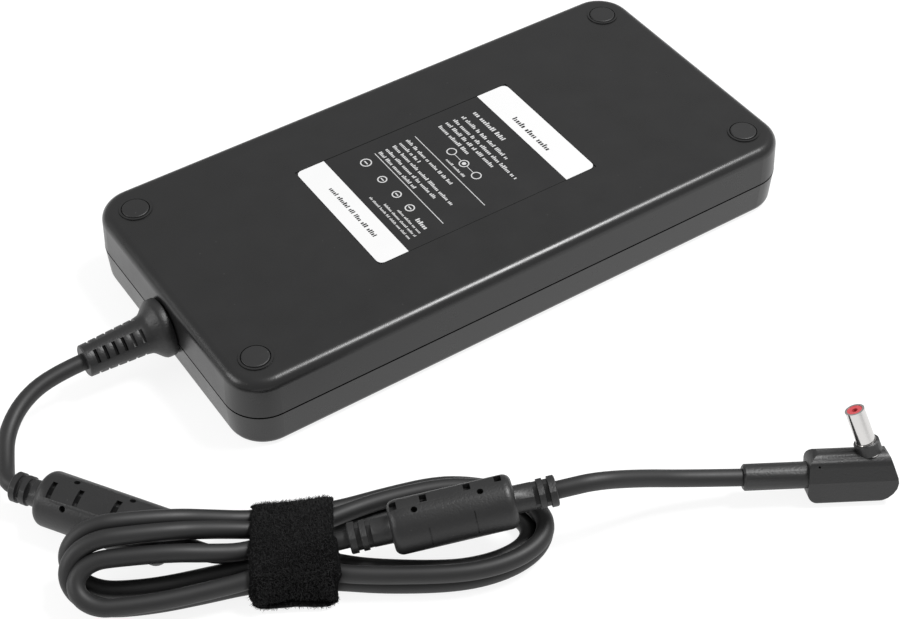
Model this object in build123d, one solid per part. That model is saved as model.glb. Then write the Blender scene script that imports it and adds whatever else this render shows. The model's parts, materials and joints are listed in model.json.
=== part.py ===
from build123d import *
import math
import os

os.makedirs("parts", exist_ok=True)

# Laptop power adapter, in millimetres. Origin at the centre of the casing's underside,
# +X from the low-voltage cord's end to the mains inlet's end, +Z up, label and feet on top.

# Casing
LENGTH = 200.0
WIDTH = 99.0
PARTING_Z = 12.4
LABEL_FACE_Z = 25.4
CORNER_RADIUS = 12.0
WALL = 2.2
DRAFT_DEG = 3.0
BOTTOM_ROUND = 2.5
TOP_ROUND = 3.4
SEAM_GAP = 0.3
SEAM_DEPTH = 0.8
TONGUE_HEIGHT = 1.2
LABEL_SIZE = (80.0, 50.0)
LABEL_THICK = 0.3
FOOT_SPACING = (178.0, 75.0)
FOOT_RADIUS = 4.2
FOOT_RING_RADIUS = 5.1
FOOT_RING_RISE = 0.35
FOOT_TOP_Z = LABEL_FACE_Z + 0.6
FOOT_POCKET_DEPTH = 1.1

# Mains inlet, a three-blade C14 socket
INLET_Z = 12.6
INLET_BODY = (21.0, 27.4, 19.6)
INLET_CAVITY = (15.5, 24.0, 16.4)
INLET_BEVEL = 5.0
BLADE = (2.0, 4.0)
BLADE_LENGTH = 14.0
BLADE_TAIL = 6.0
BLADE_PITCH = 14.0
LIVE_BLADE_Z = 11.0
EARTH_BLADE_Z = 15.0

# Circuit board, with its parts on the underside
BOARD_TOP_Z = 21.4
BOARD_THICK = 1.6
BOARD_X = (-93.0, 74.0)
BOARD_HALF_WIDTH = 45.5
BOARD_Z = BOARD_TOP_Z - BOARD_THICK
SHIELD_THICK = 0.5
SHEET_THICK = 0.3
FLOOR_Z = WALL
SHEET_TOP_Z = FLOOR_Z + SHIELD_THICK + SHEET_THICK

# Low-voltage cord and its moulded boot
CORD_RADIUS = 2.5
BOOT_Z = 12.6
BOOT_ROOT_X = -106.5
BOOT_TIP_X = -126.3
BOOT_ROOT_RADIUS = 5.45
BOOT_TIP_RADIUS = 4.75
FLANGE_RADIUS = 9.2
BOOT_WINDOWS = 6
BOOT_PITCH = 2.9
BOOT_WINDOW = (1.1, 4.2, 1.9)

# Bundle of cord turns: its own axes lie along the bundle (u), across it (v) and up
BUNDLE_ORIGIN = (-107.6, -88.2, 0.0)
BUNDLE_ANGLE = -29.4
STRAP_HALF_LENGTH = 11.5
STRAP_CENTRE = 0.7
STRAP_OUTER = (27.8, 13.2)
STRAP_THICK = 1.6
STRAP_GAP = 0.3
TAB_THICK = 1.4
TAB_SPAN = (-10.0, 10.6)
TAB_Z = (4.0, 11.0)
LOBE_LEFT = (-48.0, -6.2, 14.2, 14.0)
LOBE_RIGHT = (52.0, 4.6, 19.4, 10.0)
SADDLE = (-38.0, 21.0, 27.0)

# Ferrite beads: overmould radius, body length, relief radius, relief length
BEAD_ONE = (7.95, 39.0, 4.3, 9.5)
BEAD_TWO = (7.5, 34.0, 4.2, 11.5)
BEAD_ONE_START = (-156.1, -36.2, 8.0)
BEAD_ONE_ANGLE = -56.5
BEAD_TWO_TIP_START = (15.2, -2.2, 11.5)
BEAD_TWO_TIP_END = (71.4, 4.2, 18.9)
BEAD_CLEARANCE = 0.35

# Right-angle plug: the neck runs along n, the barrel stands at a lean from the body
NECK_START = (7.6, -137.5, 8.0)
NECK_ANGLE = -30.6
NECK_RADIUS = 3.75
NECK_LENGTH = 17.8
PLUG_ROLL = 21.0
PLUG_HALF_THICK = 4.1
BARREL_LEAN = 21.2
BARREL_ALONG = 14.5
BARREL_RADIUS = 2.75
BARREL_INNER = 2.15
BARREL_BORE = 0.85
BARREL_BASE = 10.0
BARREL_LENGTH = 10.4
BARREL_ROOT = 6.0
BARREL_ROOT_RADIUS = 2.95
BOSS_RADIUS = 3.7

# Routes of the cord outside its bundle, chosen by hand
LEAD_ROUTE = [
    (BOOT_TIP_X, 0.0, BOOT_Z),
    (-137.3, 0.0, BOOT_Z),
    (-148.2, -3.4, 11.0),
    (-156.2, -10.4, 8.9),
    (-160.5, -19.4, 7.6),
    (-161.3, -28.3, 8.0),
]
TAIL_ROUTE = [
    (-43.3, -119.6, 18.9),
    (-33.3, -123.8, 20.3),
    (-20.5, -126.4, 15.4),
    (-6.4, -130.2, 9.6),
    NECK_START,
]

NODES = {}


def add(name, shape):
    """Name a finished piece; every name becomes one file."""
    NODES[name] = shape


def box(low, high):
    """An axis-aligned block between two corners."""
    size = [high[i] - low[i] for i in range(3)]
    middle = [(high[i] + low[i]) / 2 for i in range(3)]
    return Pos(*middle) * Box(*size)


def standing_box(centre, size, height, z_face=None):
    """A block hanging down from the board's underside by its height."""
    top = BOARD_Z if z_face is None else z_face
    half = (size[0] / 2, size[1] / 2)
    low = (centre[0] - half[0], centre[1] - half[1], top - height)
    high = (centre[0] + half[0], centre[1] + half[1], top)
    return box(low, high)


def hanging_can(centre, radius, height):
    """A cylinder hanging down from the board's underside."""
    return Pos(centre[0], centre[1], BOARD_Z - height / 2) * Cylinder(radius, height)


def rod(start, end, radius):
    """A cylinder between two points."""
    path = Vector(*end) - Vector(*start)
    plane = Plane(origin=start, z_dir=path)
    return extrude(plane * Circle(radius), amount=path.length)


def drafted_block(inset, z_low, z_high, base_z, grow_up):
    """Part of the casing's outline, inset by a wall, narrowing away from the parting line."""
    corner = max(CORNER_RADIUS - inset, 1.0)
    outline = RectangleRounded(LENGTH - 2 * inset, WIDTH - 2 * inset, corner)
    height = (z_high - base_z) if grow_up else (base_z - z_low)
    direction = (0, 0, 1) if grow_up else (0, 0, -1)
    return extrude(Pos(0, 0, base_z) * outline, amount=height, dir=direction, taper=DRAFT_DEG)


def rim(outer_inset, inner_inset, z_low, z_high):
    """A flat band that follows the casing's outline."""
    bands = []
    for inset in (outer_inset, inner_inset):
        corner = max(CORNER_RADIUS - inset, 1.0)
        bands.append(RectangleRounded(LENGTH - 2 * inset, WIDTH - 2 * inset, corner))
    return extrude(Pos(0, 0, z_low) * (bands[0] - bands[1]), amount=z_high - z_low)


def inlet_opening():
    """The space that the mains inlet fills in the casing's end wall."""
    half_y, half_z = INLET_BODY[1] / 2, INLET_BODY[2] / 2
    return box(
        (LENGTH / 2 - INLET_BODY[0] - 1.0, -half_y, INLET_Z - half_z),
        (LENGTH / 2 + 5.0, half_y, INLET_Z + half_z),
    )


def cord_opening():
    """The round space in the casing's other end wall that the boot's collar fills."""
    return rod((-LENGTH / 2 - 5.0, 0, BOOT_Z), (-LENGTH / 2 + 8.0, 0, BOOT_Z), 6.5)


def foot_places():
    """Where the four feet stand, named by corner."""
    places = {}
    for x_name, x_sign in (("left", -1), ("right", 1)):
        for y_name, y_sign in (("front", -1), ("rear", 1)):
            spot = (x_sign * FOOT_SPACING[0] / 2, y_sign * FOOT_SPACING[1] / 2)
            places[f"foot_{y_name}_{x_name}"] = spot
    return places


def make_casing():
    """Two drafted trays that meet in a tongue and groove, with a thin dark seam outside."""
    lower = drafted_block(0, 0, 0, PARTING_Z, False)
    lower = fillet(lower.faces().sort_by(Axis.Z)[0].edges(), BOTTOM_ROUND)
    lower -= drafted_block(WALL, FLOOR_Z, 0, PARTING_Z, False)
    lower -= rim(-1.0, SEAM_DEPTH, PARTING_Z - SEAM_GAP, PARTING_Z + 1.0)
    lower += rim(SEAM_DEPTH + 0.05, WALL, PARTING_Z - 0.5, PARTING_Z + TONGUE_HEIGHT)
    lower -= inlet_opening() + cord_opening()
    add("lower_cover", lower)

    upper = drafted_block(0, 0, LABEL_FACE_Z, PARTING_Z, True)
    upper = fillet(upper.faces().sort_by(Axis.Z)[-1].edges(), TOP_ROUND)
    upper -= drafted_block(WALL, 0, LABEL_FACE_Z - WALL, PARTING_Z, True)
    upper -= rim(SEAM_DEPTH, WALL + 0.5, PARTING_Z - 1.0, PARTING_Z + TONGUE_HEIGHT)
    upper -= inlet_opening() + cord_opening()
    label_low = (-LABEL_SIZE[0] / 2, -LABEL_SIZE[1] / 2, LABEL_FACE_Z - LABEL_THICK)
    label_high = (LABEL_SIZE[0] / 2, LABEL_SIZE[1] / 2, LABEL_FACE_Z + 1.0)
    upper -= box(label_low, label_high)
    for x, y in foot_places().values():
        ring = Circle(FOOT_RING_RADIUS)
        upper += extrude(Pos(x, y, LABEL_FACE_Z - 0.5) * ring, amount=FOOT_RING_RISE + 0.5)
    for x, y in foot_places().values():
        pocket = Circle(FOOT_RADIUS + 0.25)
        upper -= extrude(Pos(x, y, LABEL_FACE_Z - FOOT_POCKET_DEPTH) * pocket, amount=3.0)
    add("label_cover", upper)


def make_label_and_feet():
    """The rating label in its recess and the four rubber feet in their pockets."""
    plate = RectangleRounded(LABEL_SIZE[0] - 0.4, LABEL_SIZE[1] - 0.4, 2.0)
    add("rating_label", extrude(Pos(0, 0, LABEL_FACE_Z - LABEL_THICK) * plate, amount=0.25))
    foot_base = LABEL_FACE_Z - FOOT_POCKET_DEPTH
    for name, (x, y) in foot_places().items():
        foot = extrude(Pos(x, y, foot_base) * Circle(FOOT_RADIUS), amount=FOOT_TOP_Z - foot_base)
        add(name, fillet(foot.faces().sort_by(Axis.Z)[-1].edges(), 0.4))


def make_inlet():
    """The mains inlet's moulded body and its three blades."""
    depth, width, height = INLET_BODY
    face_x = LENGTH / 2
    body = box(
        (face_x - depth, -width / 2, INLET_Z - height / 2),
        (face_x, width / 2, INLET_Z + height / 2),
    )
    half_y, half_z = INLET_CAVITY[1] / 2, INLET_CAVITY[2] / 2
    top = INLET_Z + half_z
    low = INLET_Z - half_z
    outline = [
        (-half_y, low),
        (half_y, low),
        (half_y, top - INLET_BEVEL),
        (half_y - INLET_BEVEL, top),
        (-half_y + INLET_BEVEL, top),
        (-half_y, top - INLET_BEVEL),
    ]
    mouth = Plane.YZ.offset(face_x - INLET_CAVITY[0]) * make_face(Polyline(outline, close=True))
    body -= extrude(mouth, amount=INLET_CAVITY[0] + 1.0)
    blades = {
        "line_blade": (-BLADE_PITCH / 2, LIVE_BLADE_Z),
        "neutral_blade": (BLADE_PITCH / 2, LIVE_BLADE_Z),
        "earth_blade": (0.0, EARTH_BLADE_Z),
    }
    back_x = face_x - INLET_CAVITY[0]
    for name, (y, z) in blades.items():
        half = (BLADE[0] / 2, BLADE[1] / 2)
        tail_x = face_x - depth - BLADE_TAIL
        blade = box((tail_x, y - half[0], z - half[1]), (back_x + BLADE_LENGTH, y + half[0], z + half[1]))
        body -= blade
        add(name, chamfer(blade.faces().sort_by(Axis.X)[-1].edges(), 0.4))
    add("inlet_body", body)


def make_board():
    """The main circuit board, from the cord's collar to the inlet's blades."""
    board = box((BOARD_X[0], -BOARD_HALF_WIDTH, BOARD_Z), (BOARD_X[1], BOARD_HALF_WIDTH, BOARD_TOP_Z))
    edges = board.edges().filter_by(Axis.Z)
    add("main_board", fillet(edges, 6.0))


def make_shielding():
    """The heat-spreading sheet on the casing's floor, its insulator and the gap pads."""
    half = (93.0, 44.5)
    shield = box((-half[0], -half[1], FLOOR_Z), (74.0, half[1], FLOOR_Z + SHIELD_THICK))
    add("heat_spreader_sheet", shield)
    sheet = box((-half[0], -half[1], FLOOR_Z + SHIELD_THICK), (74.0, half[1], SHEET_TOP_Z))
    add("insulation_sheet", sheet)


def toroid(centre, outer, inner, height):
    """A flat ring core that hangs from the board."""
    return hanging_can(centre, outer, height) - hanging_can(centre, inner, height + 1.0)


def wound_ring(centre, outer, inner, height, gap):
    """A ring core's two half windings, thicker than the core on every side."""
    cover = hanging_can(centre, outer + 1.2, height + 1.6) - hanging_can(centre, inner - 1.2, 60.0)
    cover -= Pos(0, 0, -0.8) * toroid(centre, outer, inner, height)
    slot = box((centre[0] - gap / 2, centre[1] - 30.0, 0.0), (centre[0] + gap / 2, centre[1] + 30.0, 30.0))
    return cover - slot


def make_input_side():
    """Fuse, surge parts, filter and rectifier, next to the mains inlet."""
    add("fuse", standing_box((68.0, -36.0), (8.4, 4.2), 8.0))
    disc = rod((60.0, -32.0, 11.3), (60.0, -27.0, 11.3), 7.0)
    add("inrush_thermistor", disc + standing_box((60.0, -29.5), (1.0, 1.0), 2.5))
    films = [standing_box((58.0, 33.0), (26.0, 10.0), 15.5), standing_box((27.0, 38.5), (18.0, 8.5), 14.0)]
    add("film_capacitors", Compound(films))
    discs = []
    for x, y in ((66.0, -18.0), (66.0, 18.0), (38.0, -40.0), (44.0, -40.0)):
        discs.append(rod((x - 1.6, y, 15.6), (x + 1.6, y, 15.6), 4.2))
    add("ceramic_disc_capacitors", Compound(discs))
    choke = (46.0, -9.0)
    add("common_mode_core", Pos(0, 0, -0.8) * toroid(choke, 12.0, 7.0, 10.0))
    add("common_mode_windings", wound_ring(choke, 12.0, 7.0, 10.0, 5.0))
    add("bridge_rectifier", standing_box((28.0, -35.0), (4.0, 20.0), 14.0))
    add("rectifier_heat_plate", standing_box((30.75, -32.0), (1.5, 26.0), 15.5))


def make_power_stage():
    """Boost choke, bulk capacitors, switches, transformer and resonant choke."""
    core = standing_box((18.0, 10.0), (22.0, 32.0), 14.0)
    slot_low = (7.0, -1.5, BOARD_Z - 11.0)
    slot_high = (29.0, 21.5, BOARD_Z - 3.0)
    limb = ((18.0, -6.0, 12.8), (18.0, 26.0, 12.8))
    add("boost_choke_core", core - box(slot_low, slot_high) + rod(*limb, 2.0))
    coil = box((8.5, -1.2, BOARD_Z - 10.8), (27.5, 21.2, BOARD_Z - 3.2))
    add("boost_choke_coil", coil - rod(*limb, 2.05))
    cans = []
    for x in (-4.5, -22.0):
        can = rod((x, -44.0, BOARD_Z - 8.2), (x, -12.0, BOARD_Z - 8.2), 8.0)
        cans.append(fillet(can.edges(), 0.8))
    add("bulk_capacitors", Compound(cans))
    plate = standing_box((-4.0, 42.5), (44.0, 1.6), 15.5)
    plate += standing_box((-4.0, 39.5), (44.0, 6.0), 1.6)
    add("primary_heat_sink", plate)
    switches = [standing_box((x, 39.3), (10.2, 4.8), 14.5, BOARD_Z - 1.6) for x in (-18.0, -4.0, 10.0)]
    trimmed = [s & box((-40, 30, 5.3), (40, 50, BOARD_Z)) for s in switches]
    add("power_switches", Compound(trimmed))
    ferrite = standing_box((-46.0, 12.0), (34.0, 38.0), 15.6)
    window = box((-63.0, -1.0, BOARD_Z - 12.6), (-29.0, 25.0, BOARD_Z - 3.0))
    post = rod((-46.0, 12.0, BOARD_Z - 12.6), (-46.0, 12.0, BOARD_Z - 3.0), 7.0)
    add("transformer_core", ferrite - window + post)
    coil = Pos(-46.0, 12.0, BOARD_Z - 7.8) * Cylinder(12.5, 9.4)
    add("transformer_windings", coil - rod((-46.0, 12.0, 0.0), (-46.0, 12.0, 30.0), 7.05))
    add("resonant_choke", standing_box((-14.5, 15.0), (20.0, 22.0), 13.0))


def make_output_side():
    """Synchronous rectifiers, output capacitors, control board and cord wires."""
    chips = [standing_box((-74.0, y), (6.0, 5.2), 1.2) for y in (-4.0, 4.0, 12.0, 20.0)]
    add("synchronous_rectifiers", Compound(chips))
    cans = []
    for x, y in ((-42.0, -36.0), (-54.0, -36.0), (-66.0, -36.0), (-78.0, -36.0), (-78.0, 36.0)):
        cans.append(fillet(hanging_can((x, y), 5.0, 15.0).edges(), 0.6))
    add("output_capacitors", Compound(cans))
    control = standing_box((-55.0, -20.0), (46.0, 1.0), 14.0)
    add("control_board", control)
    chips = []
    for x, width in ((-70.0, 5.0), (-56.0, 8.0), (-40.0, 6.0)):
        chips.append(box((x - width / 2, -22.2, 9.0), (x + width / 2, -20.5, 15.0)))
    add("control_chips", Compound(chips))
    couplers = [standing_box((x, -26.5), (4.6, 6.5), 3.5) for x in (-52.0, -40.0)]
    add("isolation_couplers", Compound(couplers))
    pad = box((-62.0, -6.5, SHEET_TOP_Z), (-30.0, 30.5, BOARD_Z - 15.6))
    caps_pad = box((-29.0, -42.0, SHEET_TOP_Z), (2.5, -13.0, BOARD_Z - 16.2))
    add("gap_pads", Compound([pad, caps_pad]))


def make_inner_wires():
    """Short wires from the inlet's blades and from the cord to the board."""
    tail_x = LENGTH / 2 - INLET_BODY[0] - BLADE_TAIL
    wires = {
        "line_wire": ((tail_x, -BLADE_PITCH / 2, LIVE_BLADE_Z), 1.2),
        "neutral_wire": ((tail_x, BLADE_PITCH / 2, LIVE_BLADE_Z), 1.2),
        "earth_wire": ((tail_x, 0.0, EARTH_BLADE_Z), 1.2),
    }
    for name, (start, radius) in wires.items():
        x, y, z = start
        points = [(x, y, z), (x - 4.0, y, z), (x - 4.0, y, BOARD_Z)]
        add(name, wire_solid(points, radius, 2.2))
    for name, y in (("positive_wire", 1.2), ("return_wire", -1.2)):
        points = [(-91.0, y, BOOT_Z), (-84.0, y, BOOT_Z), (-84.0, y, BOARD_Z)]
        add(name, wire_solid(points, 1.0, 2.2))


def wire_solid(points, radius, bend):
    """A round wire along straight runs with rounded corners."""
    path = FilletPolyline(*points, radius=bend)
    section = Plane(origin=points[0], z_dir=path % 0) * Circle(radius)
    return sweep(section, path=path)


def make_boot():
    """The moulded strain relief: collar in the wall, flange, cone and windowed sleeve."""
    profile = [
        (-93.0, 0.0),
        (-93.0, 8.0),
        (-96.0, 8.0),
        (-96.0, 6.3),
        (-100.0, 6.3),
        (-100.0, FLANGE_RADIUS),
        (-103.2, FLANGE_RADIUS - 0.3),
        (BOOT_ROOT_X, BOOT_ROOT_RADIUS + 0.4),
        (BOOT_TIP_X, BOOT_TIP_RADIUS),
        (BOOT_TIP_X, 0.0),
    ]
    face = make_face(Polyline([(x, 0, r) for x, r in profile], close=True))
    boot = Pos(0, 0, BOOT_Z) * revolve(face, axis=Axis.X)
    boot -= rod((-130.0, 0, BOOT_Z), (-90.0, 0, BOOT_Z), CORD_RADIUS + 0.05)
    width, span, depth = BOOT_WINDOW
    for index in range(BOOT_WINDOWS):
        x = BOOT_TIP_X + 3.1 + index * BOOT_PITCH
        reach = depth if index < 4 else 0.7
        radius = BOOT_TIP_RADIUS + (x - BOOT_TIP_X) * (BOOT_ROOT_RADIUS - BOOT_TIP_RADIUS) / 19.8
        for turn, cut, size in ((45, reach, span), (225, reach, span), (135, 0.7, 6.0), (315, 0.7, 6.0)):
            window = Pos(x, 0, radius + 2.0 - cut) * Box(width, size, 4.0)
            boot -= Pos(0, 0, BOOT_Z) * (Rot(turn, 0, 0) * window)
    add("strain_relief", boot)
    add("cord_in_boot", rod((BOOT_TIP_X, 0, BOOT_Z), (-91.0, 0, BOOT_Z), CORD_RADIUS))


def make_bead(plane, sizes):
    """A ferrite bead on the cord: overmould with stepped ends, and the ferrite inside."""
    radius, length, relief_radius, relief_length = sizes
    soft = 3.2
    profile = [
        (-relief_length, CORD_RADIUS + 0.05),
        (-relief_length, relief_radius - 0.2),
        (-relief_length + 5.0, relief_radius),
        (0.0, relief_radius - 0.2),
        (0.0, radius - soft),
        (soft * 0.3, radius - soft * 0.3),
        (soft, radius),
        (length - soft, radius),
        (length - soft * 0.3, radius - soft * 0.3),
        (length, radius - soft),
        (length, relief_radius - 0.2),
        (length + relief_length - 5.0, relief_radius),
        (length + relief_length, relief_radius - 0.2),
        (length + relief_length, CORD_RADIUS + 0.05),
    ]
    shell = revolve(make_face(Polyline([(x, 0, r) for x, r in profile], close=True)), axis=Axis.X)
    core_ring = Pos(length / 2, 0, 0) * (Rot(0, 90, 0) * Cylinder(radius - 1.5, length - 7.0))
    core_ring -= Pos(length / 2, 0, 0) * (Rot(0, 90, 0) * Cylinder(CORD_RADIUS + 0.7, length))
    shell -= core_ring
    cord = rod((-relief_length, 0, 0), (length + relief_length, 0, 0), CORD_RADIUS)
    return plane * shell, plane * core_ring, plane * cord


def bundle_plane():
    """The bundle's own frame: u along it, v across it, up."""
    angle = math.radians(BUNDLE_ANGLE)
    return Plane(origin=BUNDLE_ORIGIN, x_dir=(math.cos(angle), math.sin(angle), 0), z_dir=(0, 0, 1))


def bead_one_plane():
    """The first bead's frame, its X along the cord from the bead body's near end."""
    angle = math.radians(BEAD_ONE_ANGLE)
    return Plane(origin=BEAD_ONE_START, x_dir=(math.cos(angle), math.sin(angle), 0), z_dir=(0, 0, 1))


def bead_two_plane():
    """The second bead's frame, set by where its two tips lie on the bundle."""
    place = bundle_plane()
    tips = [place.from_local_coords(Vector(*tip)) for tip in (BEAD_TWO_TIP_START, BEAD_TWO_TIP_END)]
    along = (tips[1] - tips[0]).normalized()
    across = Vector(0, 0, 1).cross(along)
    start = tips[0] + along * BEAD_TWO[3]
    return Plane(origin=start, x_dir=along, z_dir=along.cross(across))


def bead_space(plane, sizes, margin):
    """The room a bead takes, used to keep the bundle clear of it."""
    radius, length, relief_radius, relief_length = sizes
    body = rod((-margin, 0, 0), (length + margin, 0, 0), radius + margin)
    ends = rod((-relief_length, 0, 0), (length + relief_length, 0, 0), relief_radius + margin)
    return plane * (body + ends)


def make_bundle():
    """One solid for the bundle's turns: two rounded lobes joined under the strap."""
    reach = STRAP_OUTER[0] / 2 - STRAP_THICK - STRAP_GAP
    under = STRAP_THICK + STRAP_GAP
    neck_low = (-STRAP_HALF_LENGTH - 1.0, STRAP_CENTRE - reach, under)
    neck_high = (STRAP_HALF_LENGTH + 1.0, STRAP_CENTRE + reach, STRAP_OUTER[1] - under)
    slab = box(neck_low, neck_high)
    for centre_u, centre_v, radius, height in (LOBE_LEFT, LOBE_RIGHT):
        side = math.copysign(STRAP_HALF_LENGTH + 0.3, centre_u)
        wedge = Polyline(
            (side, STRAP_CENTRE - reach),
            (centre_u, centre_v - radius),
            (centre_u, centre_v + radius),
            (side, STRAP_CENTRE + reach),
            close=True,
        )
        outline = make_face(wedge) + Pos(centre_u, centre_v) * Circle(radius)
        slab += extrude(outline, amount=height)
        if centre_u < 0:
            slab += saddle() & extrude(outline, amount=40.0)
    bundle = bundle_plane() * slab
    bundle -= bead_space(bead_one_plane(), BEAD_ONE, BEAD_CLEARANCE)
    bundle -= bead_space(bead_two_plane(), BEAD_TWO, BEAD_CLEARANCE)
    return bundle


def saddle():
    """The low hump where the left turns ride over the first bead's end."""
    centre_u, top, radius = SADDLE
    return rod((centre_u, -11.0, top - radius), (centre_u, 8.0, top - radius), radius)


def make_strap():
    """The hook-and-loop wrap round the bundle, and its free end lying down its front."""
    width, height = STRAP_OUTER
    outer = Pos(STRAP_CENTRE, 0) * RectangleRounded(width, height, 5.0)
    inner = Pos(STRAP_CENTRE, 0) * RectangleRounded(width - 2 * STRAP_THICK, height - 2 * STRAP_THICK, 0.8)
    section = Plane(origin=(-STRAP_HALF_LENGTH, 0, height / 2), x_dir=(0, 1, 0), z_dir=(1, 0, 0))
    add("strap_wrap", bundle_plane() * extrude(section * (outer - inner), amount=2 * STRAP_HALF_LENGTH))
    front = STRAP_CENTRE - width / 2 - STRAP_GAP
    tab = box((TAB_SPAN[0], front - TAB_THICK, TAB_Z[0]), (TAB_SPAN[1], front, TAB_Z[1]))
    tab = fillet(tab.edges().filter_by(Axis.Y).group_by(Axis.Z)[0], 2.0)
    add("strap_tab", bundle_plane() * tab)


def plug_frame():
    """The plug's frame: X along the neck (n), Z towards the barrel's side (w)."""
    angle = math.radians(NECK_ANGLE)
    along = Vector(math.cos(angle), math.sin(angle), 0)
    rear = Vector(-along.Y, along.X, 0)
    roll = math.radians(PLUG_ROLL)
    up = rear * math.sin(roll) + Vector(0, 0, 1) * math.cos(roll)
    start = Vector(*NECK_START) + along * (NECK_LENGTH + 1.5)
    return Plane(origin=start, x_dir=along, z_dir=up)


def make_plug():
    """The right-angle plug: neck and body in one moulding, and the contacts of its barrel."""
    corners = [(-1.5, -8.2), (26.3, -8.2), (20.3, 8.1), (-1.5, 8.1)]
    side = make_face(Polyline([(s, 0, h) for s, h in corners], close=True))
    body = extrude(side, amount=PLUG_HALF_THICK + 1.0, both=True)
    for s, h, radius in ((-1.5, -8.2, 4.0), (26.3, -8.2, 6.5), (20.3, 8.1, 2.0), (-1.5, 8.1, 4.0)):
        near = body.edges().filter_by(Axis.Y).sort_by_distance((s, 0, h))[0]
        body = fillet(near, radius)
    round_z = -8.2 + PLUG_HALF_THICK
    section = Pos(0, round_z) * Circle(PLUG_HALF_THICK)
    section += Pos(0, (8.3 + round_z) / 2) * Rectangle(2 * PLUG_HALF_THICK, 8.3 - round_z)
    body &= extrude(Plane.YZ.offset(-3.0) * section, amount=32.0)
    lean = math.radians(BARREL_LEAN)
    direction = Vector(-math.sin(lean), 0, math.cos(lean))
    base = Vector(BARREL_ALONG, 0, BARREL_BASE)
    body += rod(tuple(base - direction * BARREL_ROOT), tuple(base), BOSS_RADIUS)
    body += rod((-NECK_LENGTH - 1.5, 0, 0), (0, 0, 0), NECK_RADIUS)
    root = base - direction * BARREL_ROOT
    tip = base + direction * BARREL_LENGTH
    body -= rod(tuple(root), tuple(base), BARREL_ROOT_RADIUS)
    frame = plug_frame()
    add("plug_body", frame * body)
    sleeve = rod(tuple(root), tuple(base), BARREL_ROOT_RADIUS)
    sleeve += rod(tuple(base), tuple(tip), BARREL_RADIUS)
    sleeve -= rod(tuple(root - direction), tuple(tip + direction), BARREL_INNER)
    add("plug_sleeve", frame * sleeve)
    contact_radius = BARREL_BORE + 0.4
    contact_tip = tip - direction * 2.0
    contact = rod(tuple(root), tuple(contact_tip), contact_radius)
    insulator = rod(tuple(root), tuple(tip - direction * 0.15), BARREL_INNER) - contact
    bore = rod(tuple(tip - direction * 10.0), tuple(tip + direction), BARREL_BORE)
    add("plug_insulator", frame * (insulator - bore))
    add("plug_contact", frame * (contact - bore))


def corner_radii(points):
    """The largest tangent arc at each corner: 0.45 of its shorter run."""
    radii = []
    for before, corner, after in zip(points, points[1:], points[2:]):
        arriving = Vector(*corner) - Vector(*before)
        leaving = Vector(*after) - Vector(*corner)
        half_turn = math.radians(arriving.get_angle(leaving)) / 2
        radii.append(0.45 * min(arriving.length, leaving.length) / math.tan(half_turn))
    return radii


def cord_tube(name, points):
    """A stretch of free cord as straight runs joined by tangent arcs."""
    radii = corner_radii(points)
    path = FilletPolyline(*points, radius=radii)
    section = Plane(origin=points[0], z_dir=path % 0) * Circle(CORD_RADIUS)
    tube = sweep(section, path=path)
    expected = math.pi * CORD_RADIUS ** 2 * path.length
    print(name, "radii", [round(r, 1) for r in radii], "length", round(path.length, 1))
    print(name, "volume", round(tube.volume, 1), "section x length", round(expected, 1))
    add(name, tube)


def make_cord():
    """The cord from the boot through both beads and the bundle to the plug."""
    cord_tube("cord_lead", LEAD_ROUTE)
    cord_tube("cord_tail", TAIL_ROUTE)
    for name, plane, sizes in (
        ("bead_one", bead_one_plane(), BEAD_ONE),
        ("bead_two", bead_two_plane(), BEAD_TWO),
    ):
        cover, core, cord = make_bead(plane, sizes)
        add(f"{name}_cover", cover)
        add(f"{name}_ferrite", core)
        add(f"cord_in_{name}", cord)
    add("cord_bundle", make_bundle())


make_casing()
make_label_and_feet()
make_inlet()
make_board()
make_shielding()
make_input_side()
make_power_stage()
make_output_side()
make_inner_wires()
make_boot()
make_cord()
make_strap()
make_plug()
for node_name, solid in NODES.items():
    export_step(solid, f"parts/{node_name}.step")
print(len(NODES), "nodes")
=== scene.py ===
"""Looks for the laptop power adapter: camera, cord, mouldings, wrap, label and finishes."""

import json
import logging
import math
import random
from dataclasses import dataclass, field
from enum import Enum
from typing import Optional, Union

import bmesh
import bpy
from mathutils import Matrix, Vector


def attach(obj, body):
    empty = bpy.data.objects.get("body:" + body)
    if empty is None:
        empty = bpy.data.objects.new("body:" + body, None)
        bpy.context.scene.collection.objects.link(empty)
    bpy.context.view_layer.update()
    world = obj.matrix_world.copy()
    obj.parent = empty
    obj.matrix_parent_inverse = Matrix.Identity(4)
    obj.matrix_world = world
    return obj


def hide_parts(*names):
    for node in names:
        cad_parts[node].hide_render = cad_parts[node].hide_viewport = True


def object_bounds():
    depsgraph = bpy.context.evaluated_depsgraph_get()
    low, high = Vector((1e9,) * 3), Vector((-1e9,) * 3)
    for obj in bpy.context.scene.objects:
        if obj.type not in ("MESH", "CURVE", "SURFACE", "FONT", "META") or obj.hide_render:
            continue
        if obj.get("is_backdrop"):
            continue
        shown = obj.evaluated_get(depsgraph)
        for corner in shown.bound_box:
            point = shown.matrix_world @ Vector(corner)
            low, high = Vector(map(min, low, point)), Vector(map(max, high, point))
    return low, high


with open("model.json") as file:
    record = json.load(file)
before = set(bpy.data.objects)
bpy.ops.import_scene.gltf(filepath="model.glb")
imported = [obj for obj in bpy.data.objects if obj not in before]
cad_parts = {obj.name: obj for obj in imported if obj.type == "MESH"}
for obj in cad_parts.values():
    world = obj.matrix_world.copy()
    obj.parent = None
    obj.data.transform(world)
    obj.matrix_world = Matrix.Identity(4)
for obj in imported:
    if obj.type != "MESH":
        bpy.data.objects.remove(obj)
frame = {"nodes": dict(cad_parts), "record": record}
CAD_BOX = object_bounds()

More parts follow.
